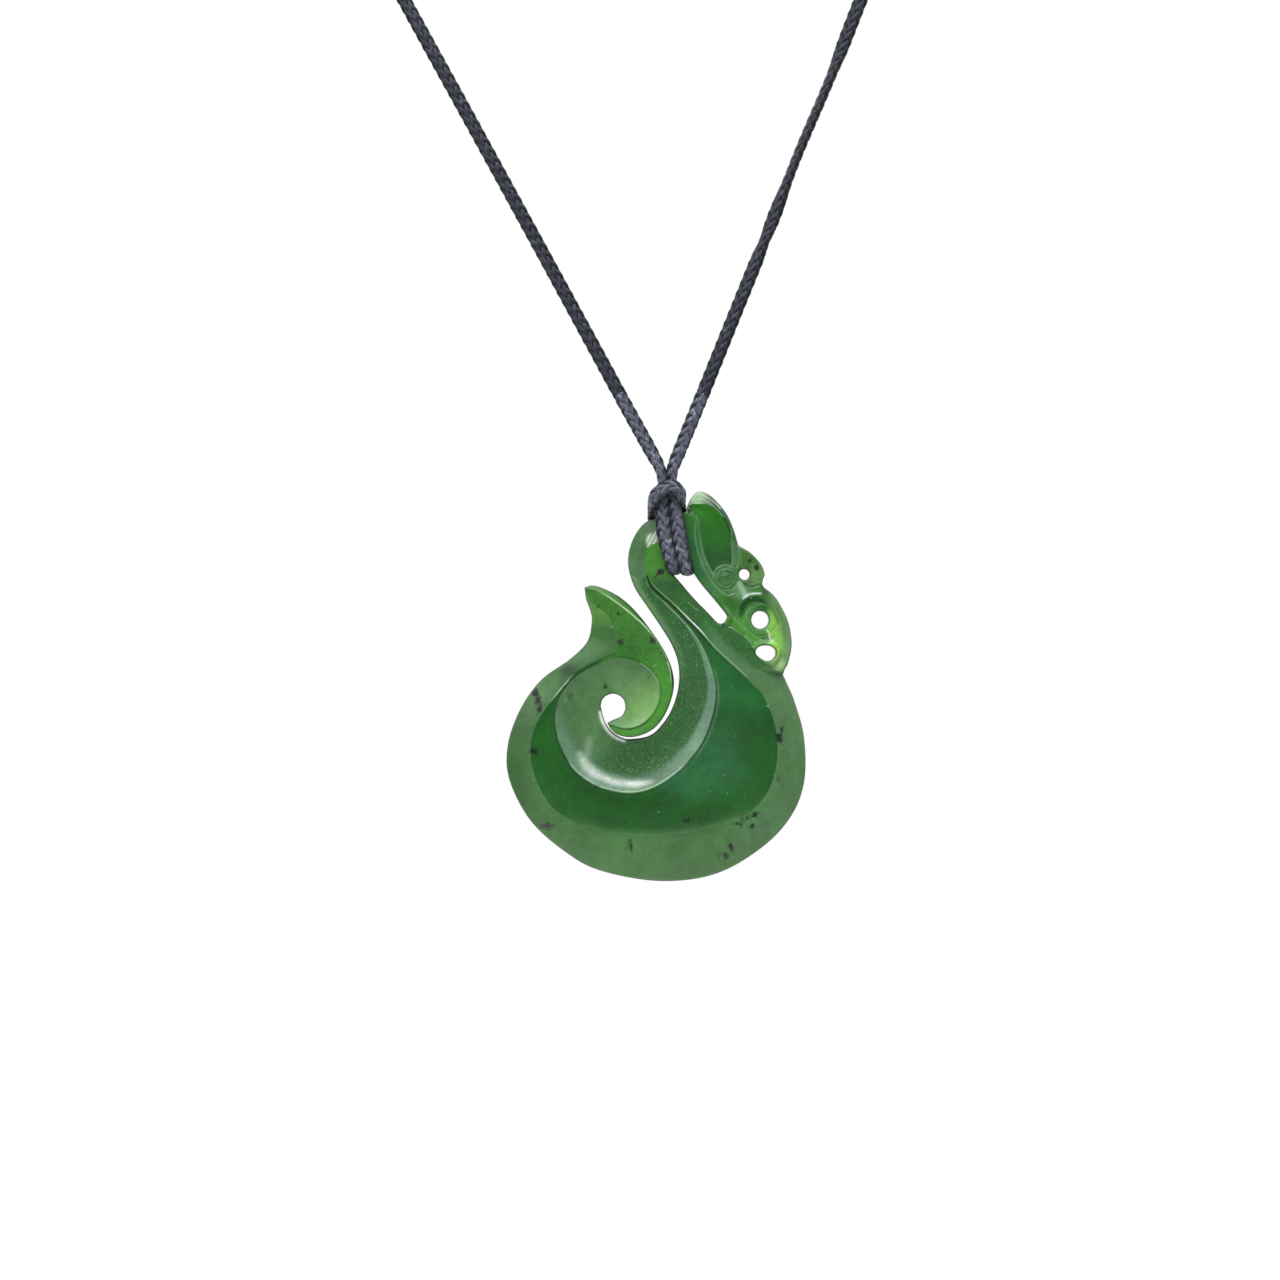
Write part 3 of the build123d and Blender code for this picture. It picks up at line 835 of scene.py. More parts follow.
def carve(points):
    # Height of the carved face over the middle plane, and the colour, gloss and grain of each field, painted
    # light and shade among the colours
    where = regions(points)
    face = faceLevel(points)
    x, y = toPhoto(points)
    toEdge = loopDistance(points)
    toRidge = toLine(points, "ridge", "finRidge")
    toCrest = toLine(points, "crest")

    # Band: from the ridge down to the rim, which stands higher at the tail
    rim = np.where(where["neckSide"], stone["neckRim"], stone["rim"])
    fromTail = np.linalg.norm(points - px(stone["tailMiddle"]), axis=1)
    rim = rim + stone["tailRise"] * np.exp(-(fromTail / stone["tailReach"]) ** 2)
    height = np.where(where["band"] | where["neckSide"], bandSlope(points, face, toRidge, rim), face)

    # Ribbon: a gentle fall from the ridge to the slot and the arm, meeting the band below
    toSlot = toLine(points, "slotLeft", "underArm")
    share = toRidge / np.maximum(toSlot + toRidge, 1e-6)
    height = np.where(where["ribbon"], face - stone["ribbonDrop"] * share ** 1.3, height)

    # Polished crescent: a shallow dip between the ridge and the crest, with a step under the sharp ridge
    dip = stone["dip"] * 4 * toRidge * toCrest / np.maximum(toRidge + toCrest, 1e-6)
    dip = stone["dipMost"] * np.tanh(dip / stone["dipMost"])
    step = stone["ridgeStep"] * ease(y, 712, 680) * (x > 630) * ease(toRidge, 0.0, 0.28)
    groove = stone["crestGroove"] * (ease(toCrest, 0.0, 0.16) - ease(toCrest, 0.2, 1.0))
    groove = groove * np.maximum(ease(y, 690, 725), x > 640)
    height = np.where(where["crescent"], face - dip - step - groove, height)

    # Scooped lobe and koru: a drop from the crest that flattens out like one minus an exponential
    depth = spread(points, stoneLine("crest"), stone["lobeDepths"])
    reach = spread(points, stoneLine("crest"), stone["lobeReaches"])
    drop = depth * (1 - np.exp(-toCrest / reach))
    slope = (points - px(stone["finFallFrom"])) @ np.array(stone["finFallWay"])
    finFall = stone["finDrop"] * ease(slope, 0.0, 6.4) * where["koru"]
    height = np.where(where["scoop"], face - drop - finFall, height)

    # Fin and tongue: falling from the fin's ridge to a narrow bevel at the gap
    toBevel = toLine(points, "finBevel")
    gapSide = px(gapMiddle[7:] + [(600, 570), (580, 580)])
    beyond = inside(points, np.concatenate([stoneLine("finBevel"), gapSide]))
    bevelShare = toBevel / np.maximum(toBevel + toLine(points, "tongue"), 1e-6)
    fin = face - finFall - np.where(beyond, stone["finBevelDrop"] * bevelShare, 0)
    height = np.where(where["fin"], fin, height)
    height = carveHead(points, height, where["head"], toEdge) - cutStrokes(points) - edgeFall(toEdge)
    return height, *paint(points, where, toEdge, toRidge, toCrest, toBevel, beyond)


leaf = {
    "inner": [
        (689, 505), (697, 503.2), (706.6, 503.8), (714.4, 508.4), (721.6, 516), (727, 524.6),
        (729.8, 533.6), (731.2, 547), (731.6, 562), (725, 566), (714, 572), (708.6, 563.6), (704.4, 553),
        (701.2, 541), (699.4, 528), (698.4, 517), (692, 511),
    ],
    "crest": [
        (689.4, 502), (694.4, 495.4), (699.4, 493.6), (707.6, 497), (717, 505), (724, 513.6), (729.4, 523),
        (733.4, 536), (736, 546),
    ],
}


def carveHead(points, height, head, toEdge):
    # The leaf-shaped brow and the arm, as shallow fields; the cheek lines and eye are cut as strokes
    # elsewhere
    y = toPhoto(points)[1]
    edge = closedCurve(leaf["inner"], 0.3)
    toPanel = distanceTo(points, edge)
    panelDrop = stone["leafDepth"] * (0.6 + 0.4 * ease(toPanel, 0.0, 1.4))
    slope = stone["leafDepth"] * 0.6 * (1 - ease(toPanel, 0.0, 0.9))
    toCrest = distanceTo(points, evenCurve(px(leaf["crest"]), 0.3))
    lower = np.where(inside(points, edge), panelDrop, slope * ease(toCrest, 0.0, 0.7))
    lower *= 1 - 0.55 * ease(y, 538, 578)
    arm = ease(y, 596, 612) * stone["armDepth"]
    ring = np.linalg.norm(points - px(stone["armHole"][:2]), axis=1) / (pixel / mm)
    arm *= 1 - 0.12 * ease(ring, 18.0, 11.5)
    outer = np.minimum(ease(toEdge, 0.25, 0.95), ease(toLine(points, "arm"), 0.20, 1.35))
    outer = np.maximum(outer, ease(ring, 18.0, 13.0))
    return np.where(head, height - lower - arm * outer, height)


def strokeLines():
    # Every stroke and ring as an evenly spaced line with its half width, depth, tone and strength
    made = [(evenCurve(px(line), 0.15), *rest) for line, *rest in strokes.values()]
    for x, y, radius, waver, width, depth, strength in rings.values():
        # A hand-cut circle: it wavers in and out by a sum of two sines of the angle
        circle = circleLine((x, y, radius), 0.15)
        angle = np.linspace(0, 2 * math.pi, len(circle), endpoint=False)
        swing = waver * pixel / mm * (np.sin(5 * angle + radius) + 0.6 * np.sin(9 * angle)) / 1.6
        circle = circle + np.stack([np.cos(angle), np.sin(angle)], 1) * swing[:, None]
        made.append((np.concatenate([circle, circle[:1]]), width, depth, "line", strength))
    made.append((evenCurve(px(pupilCurl), 0.15), 0.09, 0.07, "line", 0.4))
    return made


def cutStrokes(points):
    # Each stroke is a groove, deepest on its line and fading like a bell; where two meet the deeper holds
    cut = np.zeros(len(points))
    for line, width, depth, _, _ in strokeLines():
        groove = depth * np.exp(-(distanceTo(points, line) / width) ** 2)
        cut = np.where(np.abs(groove) > np.abs(cut), groove, cut)
    return cut


# The stone's greens as they are seen (sRGB, 0 to 255), and the pale haze that the studio lays over them
haze = 0.024
# Painted light among these: the white and pale highlight tones, the gleam, the sheen, the leaf rim's and fin
# bevel's pale lines, the neck edge's and ribbon's paler sheen, and the arm's glow; the deep, hollow and dark
# greens also serve as painted shade in creases and along edges
greens = {
    "band": (77, 123, 69),
    "bandLeft": (60, 102, 54),
    "bandRight": (83, 126, 78),
    "crescent": (44, 92, 48),
    "crescentLeft": (42, 100, 42),
    "crescentTop": (46, 108, 58),
    "crescentTeal": (58, 110, 72),
    "lobe": (47, 100, 45),
    "sheen": (113, 150, 127),
    "disc": (82, 125, 76),
    "discFoot": (80, 122, 88),
    "dish": (114, 160, 92),
    "tongue": (82, 150, 62),
    "finMatte": (52, 103, 45),
    "finTip": (92, 142, 66),
    "fin": (62, 120, 45),
    # Painted highlight: the fin bevel's thin pale line
    "finBevel": (200, 228, 190),
    "ribbon": (42, 100, 32),
    "ribbonSheen": (72, 121, 76),
    "neckSide": (80, 123, 78),
    "neckFace": (80, 146, 60),
    "neckEdgeSheen": (102, 138, 94),
    "neckTop": (52, 98, 48),
    "leaf": (38, 96, 38),
    "leafTop": (56, 122, 43),
    "leafRimHighlight": (186, 218, 180),
    "leafSide": (76, 114, 76),
    "teal": (48, 106, 60),
    "cheek": (66, 116, 64),
    "line": (98, 148, 96),
    "bump": (66, 112, 50),
    "bumpFoot": (102, 148, 76),
    "arm": (64, 120, 54),
    "armPatch": (120, 158, 116),
    "armGreen": (76, 138, 54),
    "armRing": (74, 130, 64),
    "hollow": (26, 84, 24),
    "armDeep": (30, 98, 20),
    "armGlow": (136, 198, 80),
    "armRim": (98, 142, 84),
    "armFootGlow": (142, 180, 104),
    # Painted highlight white
    "pale": (228, 240, 228),
    "gleam": (160, 205, 160),
    "deep": (30, 72, 30),
    "dark": (26, 44, 26),
    "back": (64, 116, 60),
}


def linear(colour):
    # sRGB to scene-linear, by the standard curve
    c = np.asarray(colour, float) / 255
    return np.where(c <= 0.04045, c / 12.92, ((c + 0.055) / 1.055) ** 2.4)


greens = {name: np.maximum(linear(colour) - haze, 0.004) for name, colour in greens.items()}

# The painted white highlight low in the lobe: its line, and its half width in px and strength at even steps
# along it
gleam = {
    "line": [
        (579.6, 754), (583.6, 762.6), (591, 770.8), (600, 776.4), (610.6, 780.8), (623, 783.2), (638, 784),
        (653, 781.6),
    ],
    "width": [3.0, 5.0, 4.4, 3.4, 3.0, 3.2, 3.2, 2.0],
    "strength": [0.3, 0.8, 1.0, 1.0, 0.95, 1.0, 0.9, 0.2],
}

# Dark inclusions: middle and half axes in photo pixels, lean in degrees, strength
inclusions = [
    (535, 693, 4, 5, 20, 0.95), (537.6, 701, 3.6, 5, -10, 0.95), (539.6, 708, 2.8, 4.6, -14, 0.95),
    (546, 826.6, 6, 3.4, 8, 0.95), (533.6, 750.6, 3.4, 4.4, 30, 0.8), (630.6, 846, 4.6, 7, 10, 0.62),
    (726, 857, 3, 4, 44, 0.85), (730.6, 847, 2.2, 7, 16, 0.95), (754.6, 814.6, 2.4, 3.4, 0, 0.9),
    (751.6, 827.6, 3.2, 3, 0, 0.80), (738.6, 824.4, 4.4, 3.4, 0, 0.70), (744, 818, 9, 6, -20, 0.50),
    (779.6, 738.6, 3.6, 5, 6, 0.9), (782, 729.6, 2.4, 3.6, 0, 0.8), (567, 669, 8, 4, 35, 0.30),
    (651.6, 590, 2.4, 5, 30, 0.50), (612, 633, 3, 6, 0, 0.30), (778, 778, 1.8, 5, 12, 0.5),
    (660.4, 571.6, 4.4, 3, 30, 0.95), (656, 576.6, 2.2, 2.6, 0, 0.7), (620.6, 642.6, 3.4, 3, 0, 0.95),
    (652.6, 640.4, 3.2, 3.6, 35, 0.8), (618.4, 613.4, 3.4, 2, 0, 0.7), (610.4, 609.4, 2, 1.6, 0, 0.6),
    (598.6, 605.6, 1.6, 2.6, 0, 0.5), (689.6, 509.8, 2.2, 2.6, 10, 0.95),
    (749.6, 560.6, 1.8, 1.6, 0, 0.95), (756.4, 567.4, 2.6, 2.6, 15, 0.9),
    (605.6, 686.8, 4.4, 3.4, 20, 0.72), (571, 697.6, 3.2, 5.4, 12, 0.60), (594.6, 787.6, 4, 2.2, 20, 0.65),
    (686.6, 820.4, 4, 5, 0, 0.6), (648.4, 677.6, 2.2, 1.4, -20, 0.65), (626, 823, 1.8, 1.4, 0, 0.7),
    (562, 748, 2, 5, 10, 0.35), (677.6, 621.6, 1.4, 1.8, -30, 0.55), (661, 653.6, 1.4, 1.4, 0, 0.6),
    (650.4, 656.6, 1.2, 1.4, 0, 0.55), (560.6, 669.6, 1.8, 2.4, 40, 0.5), (564.6, 686.6, 1.8, 1.8, 0, 0.5),
    (541, 787, 3, 5, 30, 0.35), (647, 552.6, 1.4, 2.6, 0, 0.45), (632, 650, 2, 5, 20, 0.4),
    (719.6, 856.6, 2.2, 1.4, 0, 0.5),
]


def blotches(points):
    # Each spot fades like a bell of the distance over its two half axes, its long one leaning to the right
    mask = np.zeros(len(points))
    for x, y, wide, tall, lean, strength in inclusions:
        gap = (points - px([x, y])) / (pixel / mm)
        turn = math.radians(lean)
        u = (gap[:, 0] * math.cos(turn) + gap[:, 1] * math.sin(turn)) / wide
        v = (gap[:, 1] * math.cos(turn) - gap[:, 0] * math.sin(turn)) / tall
        mask = np.maximum(mask, strength * np.exp(-(u * u + v * v) * 0.6))
    return mask


# The satin zone inside the crest, rougher and with a painted sheen: its width in px and its strength, at
# even steps along the crest
satinSheen = {
    "width": [1.2, 1.8, 8.0, 15.0, 16.0, 22.0, 13.0, 3.0, 0.1, 0.1, 0.1],
    "strength": [0.3, 0.5, 1.0, 1.0, 0.20, 0.72, 0.42, 0.0, 0.0, 0.0, 0.0],
}


# Soft patches of tone: middle in px, how much width and height count, and where it starts and is full, in px
patches = {
    "teal": (698.0, 765.0, 1.1, 1.0, 72.0, 20.0),
    "tailMatte": (585.0, 660.0, 0.6, 1.0, 13.0, 5.0),
    "tailDark": (569.0, 670.0, 1.0, 1.3, 14.0, 3.0),
    "finDark": (630.0, 652.0, 0.7, 1.0, 11.0, 4.0),
    "armPatch": (741.0, 592.0, 0.8, 1.0, 11.0, 4.0),
    "eye": (725.7, 577.0, 1.0, 1.0, 13.8, 12.6),
    "pupil": (725.7, 577.0, 1.0, 1.0, 8.6, 7.0),
    "bump": (751.0, 567.0, 1.0, 1.0, 21.0, 18.0),
    "armDeep": (762.0, 608.0, 0.5, 1.0, 4.2, 1.6),
    "armGlow": (776.4, 637.0, 1.9, 0.56, 26.0, 8.0),
    "armShade": (764.6, 638.6, 0.8, 1.0, 6.0, 3.0),
    "armFootGlow": (778.0, 663.0, 1.0, 1.0, 9.0, 4.0),
}


def patch(name, x, y):
    # A smooth step of the stretched distance from the patch's middle
    middleX, middleY, across, up, start, full = patches[name]
    return ease(np.hypot((x - middleX) * across, (y - middleY) * up), start, full)


def paint(points, where, toEdge, toRidge, toCrest, toBevel, beyond):
    # Colour, gloss and grain of each field, painted highlights, sheen, glow and shade among the colours;
    # every blend is a mask from 0 to 1
    x, y = toPhoto(points)
    colour = np.tile(greens["band"], (len(points), 1))
    gloss = np.full(len(points), 0.10)
    grain = np.full(len(points), 0.25)

    def lay(mask, name, shine=None, grit=None):
        nonlocal colour, gloss, grain
        mask = np.asarray(mask, float)
        colour = colour + (greens[name] - colour) * mask[:, None]
        if shine is not None:
            gloss = gloss + (shine - gloss) * mask
        if grit is not None:
            grain = grain + (grit - grain) * mask

    def along(distance, width, low, high, fade=6.0):
        # A soft line of this half width in mm, between two heights in px
        between = ease(y, low - fade, low + fade) * ease(y, high + fade, high - fade)
        return ease(distance, width * 1.7, width * 0.4) * between

    band, neckSide, crescent, fin = (where[name] for name in ("band", "neckSide", "crescent", "fin"))
    scoop, koru, ribbon = (where[name] for name in ("scoop", "koru", "ribbon"))
    lay(band * ease(x, 545, 512), "bandLeft")
    lay(band * ease(x, 700, 780), "bandRight")
    lay(band * (x < 625) * ease(y, 700, 650), "finMatte")
    lay(band * (x < 625) * ease(y, 632, 612), "finTip")
    lay(neckSide, "neckSide", 0.15, 0.2)
    lay(neckSide * ease(y, 566.0, 546.0), "neckTop")
    # Painted highlight: a streaky pale glint where the neck's upper left turns
    glint = ease(x, 645.0, 648.0) * ease(y, 549.0, 545.0) * ease(toRidge, 1.9, 1.1)
    lay(neckSide * glint * (0.50 + 0.35 * np.sin(1.5 * x + 0.8 * y)), "pale", 0.3, 0.5)

    # Low down the crescent melts into the band over a millimetre or so each side of the ridge
    melt = ease(y, 780, 812) * ease(x, 545, 600) * ease(x, 768, 725)
    acrossRidge = np.where(crescent, toRidge, -toRidge)
    lay(np.where(crescent | band, np.where(crescent, 1 - melt, 0) + melt * ease(acrossRidge, -0.9, 1.5), 0),
        "crescent", 1.0, 0.10)
    lay(crescent * ease(x, 690, 730) * ease(y, 740, 690), "crescentTop")
    lay(crescent * ease(x, 600, 545), "crescentLeft")
    lay(crescent * patch("teal", x, y) * (1 - melt), "crescentTeal")
    # Painted sheen: a thin paler line beside the crest on the right
    sheenLine = ease(np.abs(toCrest - 0.42), 0.26, 0.08) * ease(x, 690, 700) * ease(y, 664, 676)
    lay(crescent * sheenLine * 0.35, "sheen")
    # Painted shade: dark lines just outside the crest and along the sharp ridge's left side
    lay(crescent * ease(toCrest, 0.26, 0.06) * 0.75, "deep")
    lay(crescent * ease(toRidge, 0.55, 0.12) * ease(y, 690, 650) * ease(x, 640, 644) * 0.85, "deep")
    tail = (crescent | band) * (x < 625) * ease(x, 618, 604) * ease(y, 694, 682)
    # Painted shade along the crest near the tail
    lay(tail * ease(toCrest, 0.62, 0.16) * 0.6, "deep")
    lay(band * (x < 625) * patch("tailMatte", x, y) * 0.5, "finMatte")
    lay(band * (x < 625) * patch("tailDark", x, y) * 0.75, "deep", 0.1)

    lay(fin, "fin", 0.85, 0.45)
    lay(fin * ease(y, 625, 590) * 0.6, "armGreen", 0.9)
    lay(fin * ease(y, 650, 700) * ease(x, 630, 655), "tongue", 0.85, 0.15)
    lay(fin * ease(y, 690, 712), "tongue", 0.85, 0.1)
    lay(fin * beyond * ease(y, 700, 660), "fin", 0.4)
    # Painted shade along the crest on the fin's side
    lay(fin * ease(toCrest, 0.45, 0.10) * 0.45, "deep")
    lay(crescent * ease(x, 592, 606) * (x < 640) * (y < 680) * 0.6, "fin", 0.6)
    lay(fin * patch("finDark", x, y) * 0.5, "crescentLeft")

    lay(scoop, "lobe", 0.15, 1.0)
    disc = scoop * ease(x, 632, 596) * ease(y, 775, 735)
    lay(disc, "disc", 0.15, 0.45)
    lay(scoop * ease(x, 612, 588) * ease(y, 728, 752) * 0.8, "discFoot", 0.3, 0.4)
    kite = scoop * koru
    lay(kite, "disc", 0.15, 0.25)
    lay(kite * ease(x, 604, 644) * ease(y, 664, 700), "dish", 0.15, 0.10)
    crest = stoneLine("crest")
    # Painted sheen over the rougher satin zone inside the crest
    reach = spread(points, crest, satinSheen["width"]) * pixel / mm
    satinSheenMask = spread(points, crest, satinSheen["strength"]) * ease(toCrest, reach, reach * 0.62)
    lay(scoop * satinSheenMask * (1 - koru * ease(x, 585, 620)), "sheen", 0.40, 0.5)
    # Painted highlight: the white gleam low in the lobe in streaks, and a faint streak above it
    streaks = 0.82 + 0.18 * np.sin(3.1 * x + 1.3 * y) * np.sin(1.7 * y - 2.3 * x)
    path = evenCurve(px(gleam["line"]), 0.3)
    fade = np.exp(-(distanceTo(points, path) / (spread(points, path, gleam["width"], 3) * pixel / mm)) ** 2)
    lay(scoop * fade * spread(points, path, gleam["strength"], 3) * streaks, "pale", 0.6, 0.9)
    wisp = np.exp(-(distanceTo(points, px([(585, 760), (588, 750), (589.6, 740)])) / 0.55) ** 2)
    lay(scoop * wisp * 0.22 * streaks, "pale", 0.4, 0.9)
    # Painted sheen: a paler grey-green band along the neck's edge
    neckEdgeSheen = ease(toLine(points, "neck"), 1.25, 0.35) * ease(y, 572, 584)
    lay(scoop * (x > 630) * (y < 700) * neckEdgeSheen * ease(y, 700, 600) * 0.9, "neckEdgeSheen", 0.15, 0.3)

    lay(ribbon, "ribbon", 0.6, 0.6)
    # Painted sheen: a paler grey-green way beside the ridge on the ribbon
    thinner = 1 - ease(x, 745, 775) * ease(toRidge, 0.2, 1.2) * 0.3
    sheenWay = ease(toRidge, 2.2, 0.9) * ease(x, 700, 722) * thinner
    lay(ribbon * sheenWay, "ribbonSheen", 0.15, 0.6)
    lay(ribbon * ease(y, 692, 672) * ease(x, 750, 775) * 0.7, "bandRight", 0.15, 0.3)
    # Painted light: the ribbon's top by the neck is lighter, as lit from above
    lay(ribbon * ease(y, 586, 566) * ease(x, 680, 664), "neckFace", 0.6, 0.2)

    paintHead(points, x, y, where["head"], lay)
    # Painted highlights along the edges of the ridges, the crest and the fin's bevel, which are glossier
    # there too
    front = ~where["head"]
    lay(front * along(toRidge, 0.07, 582, 676) * (x > 640) * 0.65, "gleam", 0.5, 0.0)
    lay(front * along(toRidge, 0.09, 610, 634, 9.0) * (x > 640) * 0.85, "pale", 0.6, 0.0)
    lay(front * along(toRidge, 0.06, 678, 698) * (x < 580) * 0.75, "pale", 0.6, 0.0)
    lay(front * along(toCrest, 0.07, 600, 690) * (x > 640) * 0.45, "gleam", 0.4)
    lay(front * along(toCrest, 0.11, 764, 800) * 0.8, "gleam", 0.6, 0.0)
    lay(fin * along(toBevel, 0.075, 594, 684) * ease(y, 720, 640) * 0.85, "finBevel", 0.7, 0.0)
    # Painted shade along the ribbon's and the fin's edges
    lay((ribbon | fin) * ease(toEdge, 0.36, 0.14) * 0.45, "deep")
    # Each stroke's tone: the engraved lines' own green, or a painted highlight or painted shade along it
    for line, width, _, tone, strength in strokeLines():
        lay(ease(distanceTo(points, line), width * 1.8, width * 0.4) * strength, tone, 0.4)
    # Painted shade: a dark line round every edge, where it turns away
    lay(ease(toEdge, 0.18, 0.03) * 0.8, "dark")
    return colour, gloss, grain


def paintHead(points, x, y, head, lay):
    # The head's own fields, from the arm up to the leaf-shaped brow
    lay(head, "arm", 0.55, 0.2)
    lay(head * ease(x, 745, 728) * ease(y, 604, 588), "cheek", 0.4, 0.3)
    lay(head * ease(x, 712, 700) * ease(y, 586, 574), "teal", 0.85, 0.2)
    lay(head * ease(x, 712, 700) * ease(y, 552, 520) * 0.75, "leafTop", 0.85)
    lay(head * patch("armPatch", x, y) * 0.5, "armPatch", 0.4)
    panel = inside(points, closedCurve(leaf["inner"], 0.3))
    lay(head * ~panel * (x > 700) * ease(y, 575, 560), "leafSide", 0.4)
    rim = head * ~panel * ease(y, 575, 560) * (x > 687)
    # Painted highlight on the top of the leaf's rim
    lay(rim * ease(y, 516, 504) * ease(x, 712, 698), "leafRimHighlight", 0.5, 0.1)
    # Painted shade on the rim's right side, which faces away from the light
    lay(rim * ease(x, 712, 720) * ease(y, 546, 534) * 0.9, "hollow", 0.6, 0.0)
    lay(head * panel, "leaf", 1.0, 0.05)
    lay(head * panel * ease(y, 560, 510), "leafTop")
    lay(head * panel * ease(y, 540, 564) * 0.6, "hollow")
    lay(head * patch("eye", x, y), "cheek", 0.5, 0.2)
    lay(head * patch("pupil", x, y) * 0.5, "leaf", 0.7)
    bump = head * patch("bump", x, y) * (x > 738.5) * ease(y, 592, 586)
    lay(bump, "bump", 0.4, 0.4)
    lay(bump * ease(y, 560, 572) * ease(y, 588, 581) * ease(x, 748, 754), "bumpFoot")
    ring = np.hypot(x - stone["armHole"][0], y - stone["armHole"][1])
    lay(head * ease(ring, 16.6, 15.2), "armRing", 0.5, 0.2)
    # Painted shade filling the dark groove arc round the arm's ring
    arc = closedCurve(armArc, 0.2)
    depth = distanceTo(points, arc) * np.where(inside(points, arc), 1, -1)
    lay(head * ease(depth, -0.08, 0.20), "hollow", 0.9, 0.0)
    strip = ease(x, 722, 732) * ease(x, 770, 752) * ease(y, 612, 622) * ease(ring, 15.0, 17.0)
    lay(head * strip, "armGreen", 0.5)
    lay(head * patch("armDeep", x, y) * 0.8, "armDeep", 0.6)
    # Painted glow: light coming through the thin arm, in yellow-green
    lay(head * patch("armGlow", x, y), "armGlow", 0.45, 0.1)
    lay(head * patch("armShade", x, y) * 0.8, "arm", 0.3)
    rim = ease(x, 762, 774) * ease(y, 584, 602) * ease(toLine(points, "arm"), 1.80, 0.70)
    lay(head * rim, "armRim", 0.2, 0.3)
    # Painted glow along the rim at the arm's foot
    lay(head * patch("armFootGlow", x, y), "armFootGlow", 0.4)


def leftOf(way):
    # A quarter turn to the left of each direction
    return np.stack([-way[:, 1], way[:, 0]], 1)


def packPoints(front):
    # Points to triangulate: edge rows, rows along the carved lines, and an even lattice between them
    rows = []
    for loop in loops:
        way = unit(np.roll(loop, -1, axis=0) - np.roll(loop, 1, axis=0))
        for depth in stone["edgeRows"] if front else stone["edgeRows"][1::2]:
            row = loop + leftOf(way) * depth
            rows.append(row[loopDistance(row) > depth * 0.93])
    rows = [row[stoneInside(row)] for row in rows]
    creases = []
    if front:
        # Rows on and beside each carved line, kept where no other line is nearer
        for name in ("ridge", "finRidge", "crest", "finBevel", "underArm"):
            creases.append((stoneLine(name, 0.14), (0.0, 0.07, 0.16, 0.28, 0.42)))
        for line, width, *_ in strokeLines():
            creases.append((line, (0.0, width * 0.6, width * 1.3)))
        for index, (line, offsets) in enumerate(creases):
            way = unit(np.gradient(line, axis=0))
            for offset in sorted({sign * offset for offset in offsets for sign in (1, -1)}):
                row = line + leftOf(way) * offset
                good = loopDistance(row) > stone["edgeRound"] + 0.05
                good &= distanceTo(row, line) > abs(offset) * 0.93 - 1e-6
                for other, (rival, _) in enumerate(creases):
                    if other != index:
                        good &= distanceTo(row, rival) > abs(offset) + (0.05 if other < index else 0.02)
                rows.append(row[good])
    low, high = np.array([stoneLow[0], stoneLow[2]]) / mm, np.array([stoneHigh[0], stoneHigh[2]]) / mm
    pitches = [(stone["backPitch"], None)]
    if front:
        pitches = [(stone["finePitch"], True), (stone["coarsePitch"], False)]
    for pitch, fine in pitches:
        columns = np.arange(low[0], high[0], pitch)
        levels = np.arange(low[1], high[1], pitch * math.sqrt(0.75))
        gridX, gridZ = np.meshgrid(columns, levels)
        gridX = gridX + (np.arange(len(levels)) % 2 * pitch / 2)[:, None]
        lattice = np.stack([gridX.ravel(), gridZ.ravel()], 1)
        if fine is not None:
            detailed = (lattice > px(stone["fineCorner"])).all(1)
            lattice = lattice[detailed == fine]
        lattice = lattice[stoneInside(lattice)]
        lattice = lattice[loopDistance(lattice) > stone["edgeRound"] + pitch * 0.4]
        if front:
            for line, offsets in creases:
                lattice = lattice[distanceTo(lattice, line) > offsets[-1] + pitch * 0.4]
        rows.append(lattice)
    return np.concatenate(rows)


def stoneInside(points):
    mask = inside(points, loops[0])
    for loop in loops[1:]:
        mask &= ~inside(points, loop)
    return mask


def triangulate(points):
    # Delaunay triangles of the loops and points, less those outside the stone and slivers without area
    edgeCount = sum(len(loop) for loop in loops)
    every = np.concatenate([*loops, points])
    edges = []
    start = 0
    for loop in loops:
        index = np.arange(len(loop))
        edges.append(np.stack([start + index, start + (index + 1) % len(loop)], 1))
        start += len(loop)
    edges = np.concatenate(edges)
    found = delaunay_2d_cdt(every.tolist(), edges.tolist(), [], 0, 1e-7, False)
    verts = np.array([tuple(v) for v in found[0]])
    triangles = np.array(found[2])
    corners = verts[triangles]
    first, second = corners[:, 1] - corners[:, 0], corners[:, 2] - corners[:, 0]
    area = np.abs(first[:, 0] * second[:, 1] - first[:, 1] * second[:, 0]) / 2
    triangles = triangles[stoneInside(corners.mean(1)) & (area > 1e-5)]
    return verts, triangles, edges, edgeCount


def backLevel(points):
    # The plain back: full depth inside the body, bevelled to the rim, and rounded at every edge
    band = regions(points)["band"]
    face = faceLevel(points)
    toEdge = loopDistance(points)
    sloped = bandSlope(points, face, toLine(points, "ridge", "finRidge"), stone["rim"])
    level = np.where(band, sloped, face) - edgeFall(toEdge)
    colour = np.tile(greens["back"], (len(points), 1))
    rimColour = ease(toEdge, 4.2, 2.4) * band
    colour += (greens["band"] - colour) * rimColour[:, None]
    # Painted shade: a dark line round the back's edges
    dark = ease(toEdge, 0.17, 0.03) * 0.6
    colour += (greens["dark"] - colour) * dark[:, None]
    return level, colour, 0.75 - 0.35 * rimColour, np.full(len(points), 0.15)


